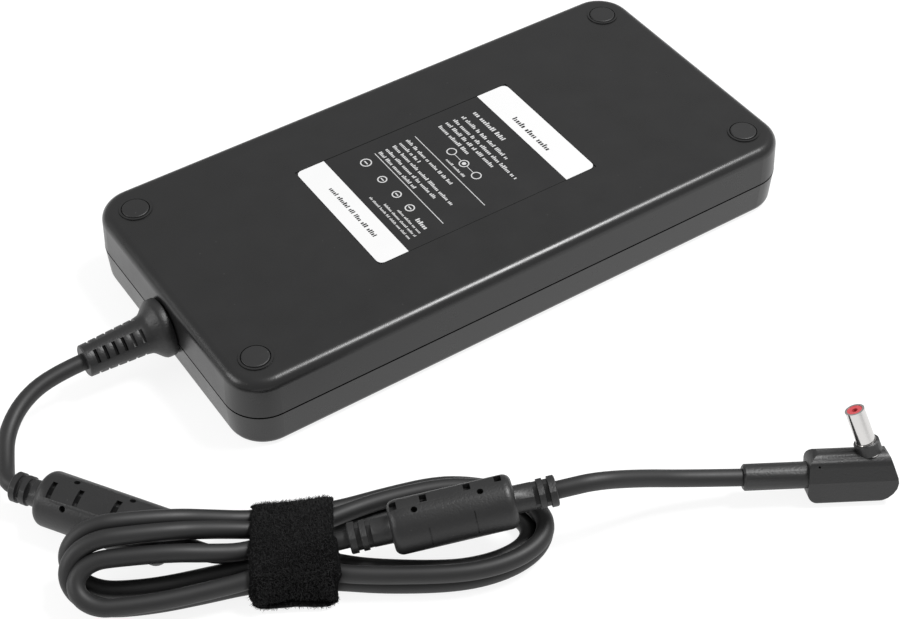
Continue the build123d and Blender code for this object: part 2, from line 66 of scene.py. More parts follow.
MM = 0.001
LOG = logging.getLogger("adapter")
Point = tuple[float, float, float]
Outline = list[tuple[float, float]]
Socket = bpy.types.NodeSocket
Level = Union[Socket, float]


class Mask(Enum):
    """What a shader effect group gives out."""

    HEIGHT = "Height"
    SHADE = "Shade"
    VALUE = "Value"


# ---------------------------------------------------------------- shared shader effects


def new_group(name: str, inputs: dict[str, float], outputs: tuple[Mask, ...]) -> bpy.types.NodeTree:
    """Start a shader node group with named float inputs.

    Args:
        name: The group's name.
        inputs: Each input's name and usual value.
        outputs: The masks that the group gives out.

    Returns:
        The group, with its input and output nodes made.
    """
    tree = bpy.data.node_groups.new(name, "ShaderNodeTree")
    for label, value in inputs.items():
        socket = tree.interface.new_socket(label, in_out="INPUT", socket_type="NodeSocketFloat")
        socket.default_value = value
    for mask in outputs:
        tree.interface.new_socket(mask.value, in_out="OUTPUT", socket_type="NodeSocketFloat")
    tree.nodes.new("NodeGroupInput").name = "in"
    tree.nodes.new("NodeGroupOutput").name = "out"
    return tree


def math_node(
    tree: bpy.types.NodeTree, operation: str, first: Level, second: Optional[Level] = None
) -> Socket:
    """Add a Math node.

    Args:
        tree: The tree to add it to.
        operation: Blender's name for the sum.
        first: A socket or a number.
        second: A socket, a number or nothing.

    Returns:
        The node's output socket.
    """
    node = tree.nodes.new("ShaderNodeMath")
    node.operation = operation
    for index, value in enumerate((first, second)):
        if value is None:
            continue
        if isinstance(value, bpy.types.NodeSocket):
            tree.links.new(value, node.inputs[index])
        else:
            node.inputs[index].default_value = value
    return node.outputs[0]


def ramp(tree: bpy.types.NodeTree, value: Socket, low: float, high: float) -> Socket:
    """Stretch a value's range to 0 to 1, with soft ends.

    Args:
        tree: The tree to add it to.
        value: The socket to stretch.
        low: What becomes 0.
        high: What becomes 1.

    Returns:
        The stretched value's socket.
    """
    node = tree.nodes.new("ShaderNodeMapRange")
    node.interpolation_type = "SMOOTHSTEP"
    tree.links.new(value, node.inputs["Value"])
    node.inputs["From Min"].default_value = low
    node.inputs["From Max"].default_value = high
    return node.outputs["Result"]


def noise(tree: bpy.types.NodeTree, scale: Level, detail: float = 3.0) -> Socket:
    """Add a noise pattern on the piece's own coordinates.

    Args:
        tree: The tree to add it to.
        scale: Features per metre, as a socket or a number.
        detail: How many octaves it has.

    Returns:
        The pattern's socket.
    """
    coords = tree.nodes.new("ShaderNodeTexCoord")
    node = tree.nodes.new("ShaderNodeTexNoise")
    tree.links.new(coords.outputs["Object"], node.inputs["Vector"])
    if isinstance(scale, bpy.types.NodeSocket):
        tree.links.new(scale, node.inputs["Scale"])
    else:
        node.inputs["Scale"].default_value = scale
    node.inputs["Detail"].default_value = detail
    return node.outputs["Fac"]


def make_grain_group() -> bpy.types.NodeTree:
    """Make the fine spark-eroded grain that every moulding has.

    Returns:
        A group that gives out the grain's height and its shade.
    """
    tree = new_group("moulded_grain", {"Size": 2600.0, "Blotch": 120.0}, (Mask.HEIGHT, Mask.SHADE))
    source, target = tree.nodes["in"], tree.nodes["out"]
    fine = noise(tree, source.outputs["Size"], 2.0)
    blotch = noise(tree, source.outputs["Blotch"], 4.0)
    coords = tree.nodes.new("ShaderNodeTexCoord")
    cells = tree.nodes.new("ShaderNodeTexVoronoi")
    tree.links.new(coords.outputs["Object"], cells.inputs["Vector"])
    tree.links.new(source.outputs["Size"], cells.inputs["Scale"])
    pits = ramp(tree, cells.outputs["Distance"], 0.0, 0.55)
    height = math_node(tree, "ADD", math_node(tree, "MULTIPLY", pits, 0.5), fine)
    tree.links.new(height, target.inputs[Mask.HEIGHT.value])
    broad_part = math_node(tree, "MULTIPLY", blotch, 0.7)
    fine_part = math_node(tree, "MULTIPLY", fine, 0.3)
    shade = math_node(tree, "ADD", broad_part, fine_part)
    tree.links.new(shade, target.inputs[Mask.SHADE.value])
    return tree


def make_dust_group() -> bpy.types.NodeTree:
    """Make the sparse pale specks that settle on dark plastic.

    Returns:
        A group that gives out how much dust lies at each place.
    """
    tree = new_group("settled_dust", {"Spacing": 260.0, "Size": 0.06, "Amount": 0.3}, (Mask.VALUE,))
    source, target = tree.nodes["in"], tree.nodes["out"]
    coords = tree.nodes.new("ShaderNodeTexCoord")
    cells = tree.nodes.new("ShaderNodeTexVoronoi")
    tree.links.new(coords.outputs["Object"], cells.inputs["Vector"])
    tree.links.new(source.outputs["Spacing"], cells.inputs["Scale"])
    speck = math_node(tree, "LESS_THAN", cells.outputs["Distance"], source.outputs["Size"])
    sparse = math_node(tree, "GREATER_THAN", noise(tree, 70.0, 1.0), 0.56)
    mask = math_node(tree, "MULTIPLY", speck, sparse)
    amount = math_node(tree, "MULTIPLY", mask, source.outputs["Amount"])
    tree.links.new(amount, target.inputs[Mask.VALUE.value])
    return tree


GRAIN = make_grain_group()
DUST = make_dust_group()


# ---------------------------------------------------------------- finishes


@dataclass(frozen=True)
class Finish:
    """A moulded, extruded or plated finish with fine grain, uneven gloss and a little dust."""

    name: str
    colour: Point
    roughness: float = 0.5
    metallic: float = 0.0
    specular: float = 0.5
    grain: float = 2600.0
    bump: float = 0.1
    relief_mm: float = 0.02
    uneven: float = 0.12
    dust: float = 0.0
    coat: float = 0.0
    sheen: float = 0.0

    def build(self) -> bpy.types.Material:
        """Make the material.

        Returns:
            A node material that reads the piece's own coordinates.
        """
        material = bpy.data.materials.new(self.name)
        material.use_nodes = True
        tree = material.node_tree
        shader = tree.nodes["Principled BSDF"]
        shader.inputs["Metallic"].default_value = self.metallic
        shader.inputs["Specular IOR Level"].default_value = self.specular
        shader.inputs["Coat Weight"].default_value = self.coat
        shader.inputs["Sheen Weight"].default_value = self.sheen
        grain = self.place(tree, GRAIN, {"Size": self.grain, "Blotch": 90.0})
        self.wire_colour(tree, shader, grain.outputs["Shade"])
        self.wire_roughness(tree, shader, grain.outputs["Shade"])
        bump = tree.nodes.new("ShaderNodeBump")
        bump.inputs["Strength"].default_value = self.bump
        bump.inputs["Distance"].default_value = self.relief_mm * MM
        tree.links.new(grain.outputs["Height"], bump.inputs["Height"])
        tree.links.new(bump.outputs["Normal"], shader.inputs["Normal"])
        return material

    @staticmethod
    def place(
        tree: bpy.types.NodeTree, group: bpy.types.NodeTree, values: dict[str, float]
    ) -> bpy.types.Node:
        """Put a shared effect in a material.

        Args:
            tree: The material's tree.
            group: The effect.
            values: The effect's input values.

        Returns:
            The group node.
        """
        node = tree.nodes.new("ShaderNodeGroup")
        node.node_tree = group
        for label, value in values.items():
            node.inputs[label].default_value = value
        return node

    def wire_colour(self, tree: bpy.types.NodeTree, shader: bpy.types.Node, shade: Socket) -> None:
        """Vary the colour with the grain and lay the dust over it.

        Args:
            tree: The material's tree.
            shader: Its Principled BSDF.
            shade: The grain's shade.
        """
        mix = tree.nodes.new("ShaderNodeMix")
        mix.data_type = "RGBA"
        tree.links.new(shade, mix.inputs["Factor"])
        mix.inputs["A"].default_value = (*[c * (1 - self.uneven) for c in self.colour], 1)
        mix.inputs["B"].default_value = (*[min(c * (1 + self.uneven), 1) for c in self.colour], 1)
        result = mix.outputs["Result"]
        if self.dust:
            dust = self.place(tree, DUST, {"Amount": self.dust})
            over = tree.nodes.new("ShaderNodeMix")
            over.data_type = "RGBA"
            tree.links.new(dust.outputs["Value"], over.inputs["Factor"])
            tree.links.new(result, over.inputs["A"])
            over.inputs["B"].default_value = (0.35, 0.34, 0.33, 1)
            result = over.outputs["Result"]
        tree.links.new(result, shader.inputs["Base Color"])

    def wire_roughness(self, tree: bpy.types.NodeTree, shader: bpy.types.Node, shade: Socket) -> None:
        """Make the gloss slightly uneven.

        Args:
            tree: The material's tree.
            shader: Its Principled BSDF.
            shade: The grain's shade.
        """
        spread = math_node(tree, "MULTIPLY", math_node(tree, "SUBTRACT", shade, 0.5), 0.2)
        tree.links.new(math_node(tree, "ADD", spread, self.roughness), shader.inputs["Roughness"])


CASING = Finish(
    "casing_satin", (0.0140, 0.0140, 0.0142), 0.30,
    specular=0.44, bump=0.5, relief_mm=0.02, grain=1900, dust=0.05
)
JACKET = Finish("cord_jacket_satin", (0.0120, 0.0120, 0.0123), 0.54, bump=0.12, relief_mm=0.01, grain=1500)
VINYL = Finish(
    "moulded_vinyl", (0.0125, 0.0125, 0.0128), 0.46,
    bump=0.75, relief_mm=0.06, grain=1300, dust=0.08
)
PILE = Finish(
    "loop_pile", (0.0045, 0.0045, 0.0046), 0.95,
    bump=0.8, relief_mm=0.2, grain=900, specular=0.05
)
# The fibres get a lighter colour than the pile under them: painted highlight on the black pile.
FIBRE_HIGHLIGHT = Finish("pile_fibre_highlight", (0.0300, 0.0300, 0.0305), 0.85, bump=0.1, specular=0.12)
FOOT = Finish("foot_rubber", (0.0105, 0.0105, 0.0108), 0.5, bump=0.2, dust=0.08)
LABEL_FILM = Finish("label_film", (0.0095, 0.0095, 0.0098), 0.38, bump=0.1, relief_mm=0.005)
WHITE_INK = Finish("label_white", (0.66, 0.66, 0.66), 0.45, bump=0.1, relief_mm=0.004, uneven=0.02)
GREY_INK = Finish("label_grey_ink", (0.50, 0.50, 0.50), 0.5, bump=0.05, uneven=0.1)
NICKEL = Finish(
    "bright_nickel", (0.62, 0.61, 0.60), 0.14,
    metallic=1.0, bump=0.06, relief_mm=0.003, uneven=0.04
)
INSULATOR = Finish("insulator_red", (0.50, 0.06, 0.07), 0.35, bump=0.05)
# Near-black finish for the band in the casing's seam: painted shadow for the shade in the gap.
SHADOW = Finish("seam_painted_shadow", (0.0015, 0.0015, 0.0015), 0.95, specular=0.03, bump=0.1)
INLET = Finish("inlet_black", (0.008, 0.008, 0.008), 0.55, bump=0.2, grain=1800)
INNER = {
    "board": Finish("board_mask", (0.03, 0.16, 0.06), 0.4, bump=0.2, grain=700),
    "copper": Finish(
        "winding_copper", (0.60, 0.25, 0.10), 0.3,
        metallic=0.8, bump=0.5, relief_mm=0.1, grain=500
    ),
    "insulation": Finish("insulating_film", (0.55, 0.53, 0.48), 0.6),
    "fuse_plastic": Finish("fuse_body", (0.10, 0.08, 0.07), 0.5),
    "ceramic_blue": Finish("dipped_ceramic", (0.05, 0.15, 0.40), 0.3, bump=0.2, grain=600),
    "film_yellow": Finish("film_box", (0.70, 0.50, 0.05), 0.35),
    "ferrite": Finish("sintered_ferrite", (0.006, 0.006, 0.006), 0.8, specular=0.15, bump=0.5, grain=1500),
    "component_black": Finish("epoxy_package", (0.02, 0.02, 0.02), 0.6, bump=0.3),
    "aluminium": Finish("mill_aluminium", (0.72, 0.72, 0.73), 0.35, metallic=1.0, bump=0.2),
    "wire_line": Finish("wire_brown", (0.12, 0.05, 0.02), 0.35),
    "wire_neutral": Finish("wire_blue", (0.03, 0.12, 0.40), 0.35),
    "wire_earth": Finish("wire_green", (0.10, 0.40, 0.05), 0.35),
    "wire_positive": Finish("wire_red", (0.50, 0.02, 0.02), 0.35),
    "wire_return": Finish("wire_black", (0.02, 0.02, 0.02), 0.35),
    "nickel": NICKEL,
    "casing": CASING,
    "label": LABEL_FILM,
    "foot_rubber": FOOT,
    "inlet_plastic": INLET,
    "moulded_vinyl": VINYL,
    "cord_jacket": JACKET,
    "hook_and_loop": PILE,
    "insulator_red": INSULATOR,
}


@dataclass
class Paintbox:
    """Makes each finish once and puts it on pieces."""

    made: dict[str, bpy.types.Material] = field(default_factory=dict)

    def dress(self, piece: bpy.types.Object, finish: Finish) -> None:
        """Give a piece one finish.

        Args:
            piece: The piece to dress.
            finish: What it is finished in.
        """
        piece.data.materials.clear()
        piece.data.materials.append(self.get(finish))

    def get(self, finish: Finish) -> bpy.types.Material:
        """Return a finish's material, made on first use."""
        if finish.name not in self.made:
            self.made[finish.name] = finish.build()
        return self.made[finish.name]

    def dress_nodes(self) -> None:
        """Give every carried-over node the finish of its material slot."""
        for part in frame["record"]["subparts"]:
            node = frame["nodes"][part["node"]]
            material = self.get(INNER[part["material_slot"]])
            for slot in node.material_slots:
                slot.material = material


PAINT = Paintbox()


# ---------------------------------------------------------------- mesh helpers


def finish_piece(
    piece: bpy.types.Object, body: str, slot: str, nodes: tuple[str, ...] = ()
) -> bpy.types.Object:
    """Hang a finished piece on its body, hide the nodes that it replaces and log its slot.

    Args:
        piece: The piece.
        body: The body it rides on.
        slot: The record's material slot.
        nodes: The nodes that it replaces.

    Returns:
        The same piece.
    """
    if piece.name not in bpy.context.scene.collection.objects:
        bpy.context.scene.collection.objects.link(piece)
    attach(piece, body)
    if nodes:
        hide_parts(*nodes)
    LOG.info("made %s (%s)", piece.name, slot)
    return piece


def mesh_object(name: str, mesh: bmesh.types.BMesh, smooth: bool = True) -> bpy.types.Object:
    """Turn a bmesh into an object with its faces outwards.

    Args:
        name: The piece's name.
        mesh: The bmesh, which is freed.
        smooth: Whether its faces are shaded smooth.

    Returns:
        The new object, linked to the scene.
    """
    bmesh.ops.remove_doubles(mesh, verts=mesh.verts, dist=1e-6)
    bmesh.ops.recalc_face_normals(mesh, faces=mesh.faces)
    data = bpy.data.meshes.new(name)
    mesh.to_mesh(data)
    mesh.free()
    for polygon in data.polygons:
        polygon.use_smooth = smooth
    piece = bpy.data.objects.new(name, data)
    bpy.context.scene.collection.objects.link(piece)
    return piece


def add_loft(
    mesh: bmesh.types.BMesh, rings: list[list[Vector]], closed: bool = False, caps: bool = True
) -> None:
    """Skin a row of rings, with a cap on each end unless the row closes on itself.

    Args:
        mesh: The bmesh to add to.
        rings: Rings of equal length.
        closed: Whether the last ring joins the first.
        caps: Whether an open row's ends are filled.
    """
    loops = [[mesh.verts.new(point) for point in ring] for ring in rings]
    pairs = list(zip(loops, loops[1:]))
    if closed:
        pairs.append((loops[-1], loops[0]))
    count = len(rings[0])
    for near, far in pairs:
        for index in range(count):
            after = (index + 1) % count
            mesh.faces.new((near[index], near[after], far[after], far[index]))
    if caps and not closed:
        mesh.faces.new(list(reversed(loops[0])))
        mesh.faces.new(loops[-1])


def add_lathe(
    mesh: bmesh.types.BMesh,
    place: Matrix,
    profile: list[tuple[float, float]],
    steps: int = 64,
    bored: bool = False,
) -> None:
    """Turn a profile of (along, radius) in millimetres round a place's X axis.

    Args:
        mesh: The bmesh to add to.
        place: The axis as a matrix.
        profile: Points from one end of the axis to the other.
        steps: How many sides the round has.
        bored: Whether the last point joins the first, which leaves a bore.
    """
    rings = []
    for along, radius in profile:
        ring = []
        for index in range(steps):
            turn = 2 * math.pi * index / steps
            across, up = radius * MM * math.cos(turn), radius * MM * math.sin(turn)
            ring.append(place @ Vector((along * MM, across, up)))
        rings.append(ring)
    add_loft(mesh, rings, closed=bored)


def rounded(corners: list[tuple[float, float, float]], steps: int = 6) -> list[tuple[float, float]]:
    """Round a flat outline's corners.

    Args:
        corners: Each corner's two coordinates and its radius.
        steps: How many points each round has, less one.

    Returns:
        The rounded outline's points.
    """
    points = []
    for index, (x, y, radius) in enumerate(corners):
        here = Vector((x, y))
        before = (Vector(corners[index - 1][:2]) - here).normalized()
        after = (Vector(corners[(index + 1) % len(corners)][:2]) - here).normalized()
        half = before.angle(after) / 2
        centre = here + (before + after).normalized() * radius / math.sin(half)
        first = here + before * radius / math.tan(half) - centre
        last = here + after * radius / math.tan(half) - centre
        sweep = first.angle_signed(last) if radius else 0.0
        for step in range(steps + 1 if radius else 1):
            turn = Matrix.Rotation(-sweep * step / steps, 2)
            points.append(tuple(centre + turn @ first) if radius else (x, y))
    return points


def add_block(mesh: bmesh.types.BMesh, place: Matrix, low: Point, high: Point) -> None:
    """Add a block between two corners in millimetres, in a place's own axes."""
    corners = [(low[1], low[2]), (high[1], low[2]), (high[1], high[2]), (low[1], high[2])]
    rings = [[place @ (Vector((x, y, z)) * MM) for y, z in corners] for x in (low[0], high[0])]
    add_loft(mesh, rings)


def carve(piece: bpy.types.Object, cutter: bpy.types.Object, operation: str = "DIFFERENCE") -> None:
    """Cut one piece with another, which is then thrown away.

    Args:
        piece: The piece to cut.
        cutter: The shape to cut with.
        operation: Blender's name for the cut.
    """
    tool = piece.modifiers.new("cut", "BOOLEAN")
    tool.operation = operation
    tool.solver = "EXACT"
    tool.use_self = True
    tool.object = cutter
    bake(piece)
    bpy.data.objects.remove(cutter)


def bake(piece: bpy.types.Object) -> None:
    """Apply all of a piece's modifiers to its mesh.

    Args:
        piece: The piece, which keeps its name and loses its modifiers.
    """
    graph = bpy.context.evaluated_depsgraph_get()
    graph.update()
    data = bpy.data.meshes.new_from_object(piece.evaluated_get(graph))
    piece.modifiers.clear()
    piece.data = data


def soften(piece: bpy.types.Object, width_mm: float, angle: float = 35.0) -> None:
    """Round a piece's sharp edges with a narrow bevel.

    Args:
        piece: The piece.
        width_mm: The bevel's width.
        angle: Edges sharper than this are rounded.
    """
    tool = piece.modifiers.new("soften", "BEVEL")
    tool.width = width_mm * MM
    tool.segments = 2
    tool.limit_method = "ANGLE"
    tool.angle_limit = math.radians(angle)
    tool.use_clamp_overlap = True
    tool.harden_normals = False
    bake(piece)
    piece.data.shade_smooth()
    piece.data.set_sharp_from_angle(angle=math.radians(40))


def axes(origin: Vector, along: Vector, up: Vector) -> Matrix:
    """Make a place whose X runs along one direction and Z lies towards another.

    Args:
        origin: The place, in metres.
        along: Its X direction.
        up: Roughly its Z direction.

    Returns:
        The matrix.
    """
    x = along.normalized()
    y = up.cross(x).normalized()
    z = x.cross(y)
    place = Matrix((x, y, z)).transposed().to_4x4()
    place.translation = origin
    return place


# ---------------------------------------------------------------- camera, floor and light


@dataclass
class Studio:
    """The plain pale floor, the soft lights and the camera."""

    eye: Point = (-0.2402, -0.3691, 0.4058)
    right: Point = (0.83376, -0.55210, -0.00532)
    up: Point = (0.39441, 0.58882, 0.70550)
    back: Point = (-0.38637, -0.59031, 0.70869)
    lens: float = 74.17

    def build(self) -> None:
        """Make the camera first, then the floor and the lights."""
        self.make_camera()
        self.make_floor()
        self.make_lights()

    def make_camera(self) -> None:
        """Stand the camera at the product view."""
        data = bpy.data.cameras.new("camera")
        data.lens = self.lens
        data.sensor_width = 36.0
        data.clip_start = 0.01
        camera = bpy.data.objects.new("camera", data)
        turn = Matrix((self.right, self.up, self.back)).transposed().to_4x4()
        turn.translation = self.eye
        camera.matrix_world = turn
        bpy.context.scene.collection.objects.link(camera)
        bpy.context.scene.camera = camera

    def make_floor(self) -> None:
        """Lay a wide pale sheet under the adapter."""
        mesh = bmesh.new()
        corners = [(-4, -4), (4, -4), (4, 4), (-4, 4)]
        mesh.faces.new([mesh.verts.new((x, y, -0.0002)) for x, y in corners])
        data = bpy.data.meshes.new("floor")
        mesh.to_mesh(data)
        mesh.free()
        floor = bpy.data.objects.new("floor", data)
        bpy.context.scene.collection.objects.link(floor)
        paper = Finish("pale_floor", (0.20, 0.20, 0.20), 0.9, bump=0.0, specular=0.1, uneven=0.004).build()
        shader = paper.node_tree.nodes["Principled BSDF"]
        shader.inputs["Emission Color"].default_value = (1, 1, 1, 1)
        shader.inputs["Emission Strength"].default_value = 0.86
        data.materials.append(paper)
        floor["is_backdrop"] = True

    def make_lights(self) -> None:
        """Set a bright even surround, a big soft box behind and another at the left."""
        world = bpy.data.worlds.new("surround")
        world.use_nodes = True
        world.node_tree.nodes["Background"].inputs["Color"].default_value = (1, 1, 1, 1)
        world.node_tree.nodes["Background"].inputs["Strength"].default_value = 0.42
        bpy.context.scene.world = world
        bpy.context.scene.view_settings.view_transform = "Standard"
        self.soft_box("overhead_box", (0.42, -0.18, 0.95), (0.0, -0.03, 0.0), (0.36, 0.26), 11.5)
        self.soft_box("left_box", (-0.80, 0.25, 0.45), (-0.05, 0.0, 0.0), (0.5, 0.4), 3.0)

    @staticmethod
    def soft_box(name: str, place: Point, target: Point, size: tuple[float, float], power: float) -> None:
        """Hang one rectangular light.

        Args:
            name: The light's name.
            place: Where it hangs.
            target: What it points at.
            size: Its width and height in metres.
            power: Its power in watts.
        """
        data = bpy.data.lights.new(name, "AREA")
        data.shape = "RECTANGLE"
        data.size, data.size_y = size
        data.energy = power
        light = bpy.data.objects.new(name, data)
        light.location = place
        light.rotation_euler = (Vector(target) - Vector(place)).to_track_quat("-Z", "Y").to_euler()
        bpy.context.scene.collection.objects.link(light)


# ---------------------------------------------------------------- cord


@dataclass
class BundlePlace:
    """The bundle's own axes: along it, across it and up."""

    origin: Point = (-107.6, -88.2, 0.0)
    angle: float = -29.4

    def matrix(self) -> Matrix:
        """Return the axes as a matrix, in metres."""
        turn = Matrix.Rotation(math.radians(self.angle), 4, "Z")
        return Matrix.Translation(Vector(self.origin) * MM) @ turn

    def at(self, point: Point) -> Vector:
        """Return a bundle point, in millimetres, in the adapter's frame."""
        return self.matrix() @ (Vector(point) * MM)


@dataclass
class BeadPlace:
    """Where a ferrite bead lies: its body's near end, its direction and its sizes."""

    start: Vector
    along: Vector
    radius: float
    length: float
    relief: float

    def on_axis(self, along_mm: float) -> Vector:
        """Return a point on the bead's axis."""
        return self.start + self.along * along_mm * MM

    def matrix(self) -> Matrix:
        """Return the bead's axes as a matrix."""
        return axes(self.start, self.along, Vector((0, 0, 1)))


BUNDLE = BundlePlace()
BEAD_ONE = BeadPlace(
    Vector((-156.1, -36.2, 8.0)) * MM,
    Vector((math.cos(math.radians(-56.5)), math.sin(math.radians(-56.5)), 0)),
    7.95,
    39.0,
    9.5,
)
BEAD_TWO_TIPS = (BUNDLE.at((15.2, -2.2, 11.5)), BUNDLE.at((71.4, 4.2, 18.9)))
BEAD_TWO_LINE = (BEAD_TWO_TIPS[1] - BEAD_TWO_TIPS[0]).normalized()
BEAD_TWO = BeadPlace(BEAD_TWO_TIPS[0] + BEAD_TWO_LINE * 11.5 * MM, BEAD_TWO_LINE, 7.5, 34.0, 11.5)


@dataclass(frozen=True)
class Lobe:
    """The rounded end of one turn of the bundle, half an ellipse that may lean.

    A lobe with a negative reach is on the bundle's left.
    """

    centre_along: float
    centre_across: float
    reach: float
    half_width: float
    centre_up: float
    rise: float
    steps: int = 8

    def points(self) -> list[Point]:
        """Work out the lobe's points: right lobes run front to rear, left lobes rear to front.

        Returns:
            The points in the bundle's own directions, in millimetres.
        """
        side = -1 if self.reach > 0 else 1
        spots = []
        for step in range(self.steps + 1):
            turn = math.pi * (0.5 - step / self.steps)
            along = self.centre_along + self.reach * math.cos(turn)
            across = self.centre_across + side * self.half_width * math.sin(turn)
            spots.append((along, across, self.centre_up + side * self.rise * math.sin(turn)))
        return spots


@dataclass
class Cord:
    """The low-voltage cord, one spline from the boot's tip to the plug's neck."""

    diameter: float = 5.0
    lead: tuple[Point, ...] = (
        (-126.3, 0.0, 12.6),
        (-137.3, 0.0, 12.6),
        (-148.2, -3.4, 11.0),
        (-156.2, -10.4, 8.9),
        (-160.5, -19.4, 7.6),
    )
    tail: tuple[Point, ...] = (
        (-33.3, -123.8, 20.3),
        (-20.5, -126.4, 15.4),
        (-6.4, -130.2, 9.6),
        (7.6, -137.5, 8.0),
    )
    passes: tuple[tuple[Point, ...], ...] = (
        (
            (-17, -1, 6.2), (-11, 1.2, 4.2), (-3, 1.4, 3.8), (4, -1, 3.8), (12, -4, 3.4),
            (22, -5.8, 2.6),
        ),
        (
            (24, 11.2, 2.6), (12, 8.6, 3.2), (0, 6.8, 5), (-12, 5.6, 8), (-22, 3, 12.4),
            (-31, 0, 16.6),
        ),
        (
            (-36, -13.2, 2.5), (-24, -11.2, 2.6), (-12, -9.3, 3.3), (0, -9, 3.8),
            (12, -9.8, 3), (24, -11.4, 2.5),
        ),
        (
            (26, 18.6, 3), (12, 13.6, 4.4), (0, 11.4, 5.4), (-12, 10.4, 6.4),
            (-22, 8.2, 10.6), (-31, 5.6, 15.2),
        ),
        (
            (-36, -7.4, 2.5), (-23, -5, 2.6), (-12, -3.2, 3.2), (-4, -3.6, 5),
            (3, -6.4, 6.6), (12, -10.2, 6.9), (24, -11.6, 6.9),
        ),
        (
            (27, 14.4, 7.4), (15, 10, 7.9), (1, 3, 8.6), (-12, -2.6, 8.8), (-22, -4.6, 12),
            (-32, -5.4, 14.2),
        ),
        (
            (-35, -15.7, 6.9), (-22, -13, 6.9), (-12, -11, 7.4), (-5, -8.6, 8.8),
            (2, -5.4, 10.2), (8.5, -3.2, 10.8),
        ),
    )
    bead_one_stations: tuple[float, ...] = (-12.5, -6.5, 12.0, 30.0, 45.5, 51.5)
    bead_two_stations: tuple[float, ...] = (-14.0, -8.0, 9.0, 26.0, 42.0, 48.0)
    lobes: tuple[Lobe, ...] = (
        Lobe(41.0, 3.5, 23.6, 11.1, 2.5, 0.0),
        Lobe(-46.5, -8.2, -12.8, 6.1, 10.7, 7.5),
        Lobe(40.5, 4.9, 28.7, 17.2, 2.5, 0.0),
        Lobe(-47.0, -2.4, -12.8, 5.4, 10.3, 7.8),
        Lobe(42.0, 2.3, 27.0, 15.0, 7.2, 0.1),
        Lobe(-48.0, -11.7, -8.8, 5.5, 10.9, 3.5),
    )

    def route(self) -> list[Vector]:
        """Return the whole route's points, from the boot to the plug.

        Returns:
            The spline's control points, in metres.
        """
        points = [Vector(p) * MM for p in self.lead]
        points += [BEAD_ONE.on_axis(s) for s in self.bead_one_stations]
        for index, crossing in enumerate(self.passes):
            points += [BUNDLE.at(p) for p in crossing]
            if index < len(self.lobes):
                points += [BUNDLE.at(p) for p in self.lobes[index].points()]
        points += [BEAD_TWO.on_axis(s) for s in self.bead_two_stations]
        points += [Vector(p) * MM for p in self.tail]
        return points

    def build(self) -> bpy.types.Object:
        """Make the cord as one open spline with a round section.

        Returns:
            The cord's curve object.
        """
        data = bpy.data.curves.new("cord", "CURVE")
        data.dimensions = "3D"
        data.bevel_depth = self.diameter / 2 * MM
        data.bevel_resolution = 6
        data.resolution_u = 6
        data.use_fill_caps = True
        spline = data.splines.new("NURBS")
        points = self.route()
        spline.points.add(len(points) - 1)
        for knot, point in zip(spline.points, points):
            knot.co = (*point, 1.0)
        spline.order_u = 3
        spline.use_endpoint_u = True
        piece = bpy.data.objects.new("low_voltage_cord", data)
        PAINT.dress(piece, JACKET)
        runs = ("cord_lead", "cord_tail", "cord_bundle", "cord_in_bead_one", "cord_in_bead_two")
        return finish_piece(piece, "adapter", "cord_jacket", runs)


# ---------------------------------------------------------------- beads


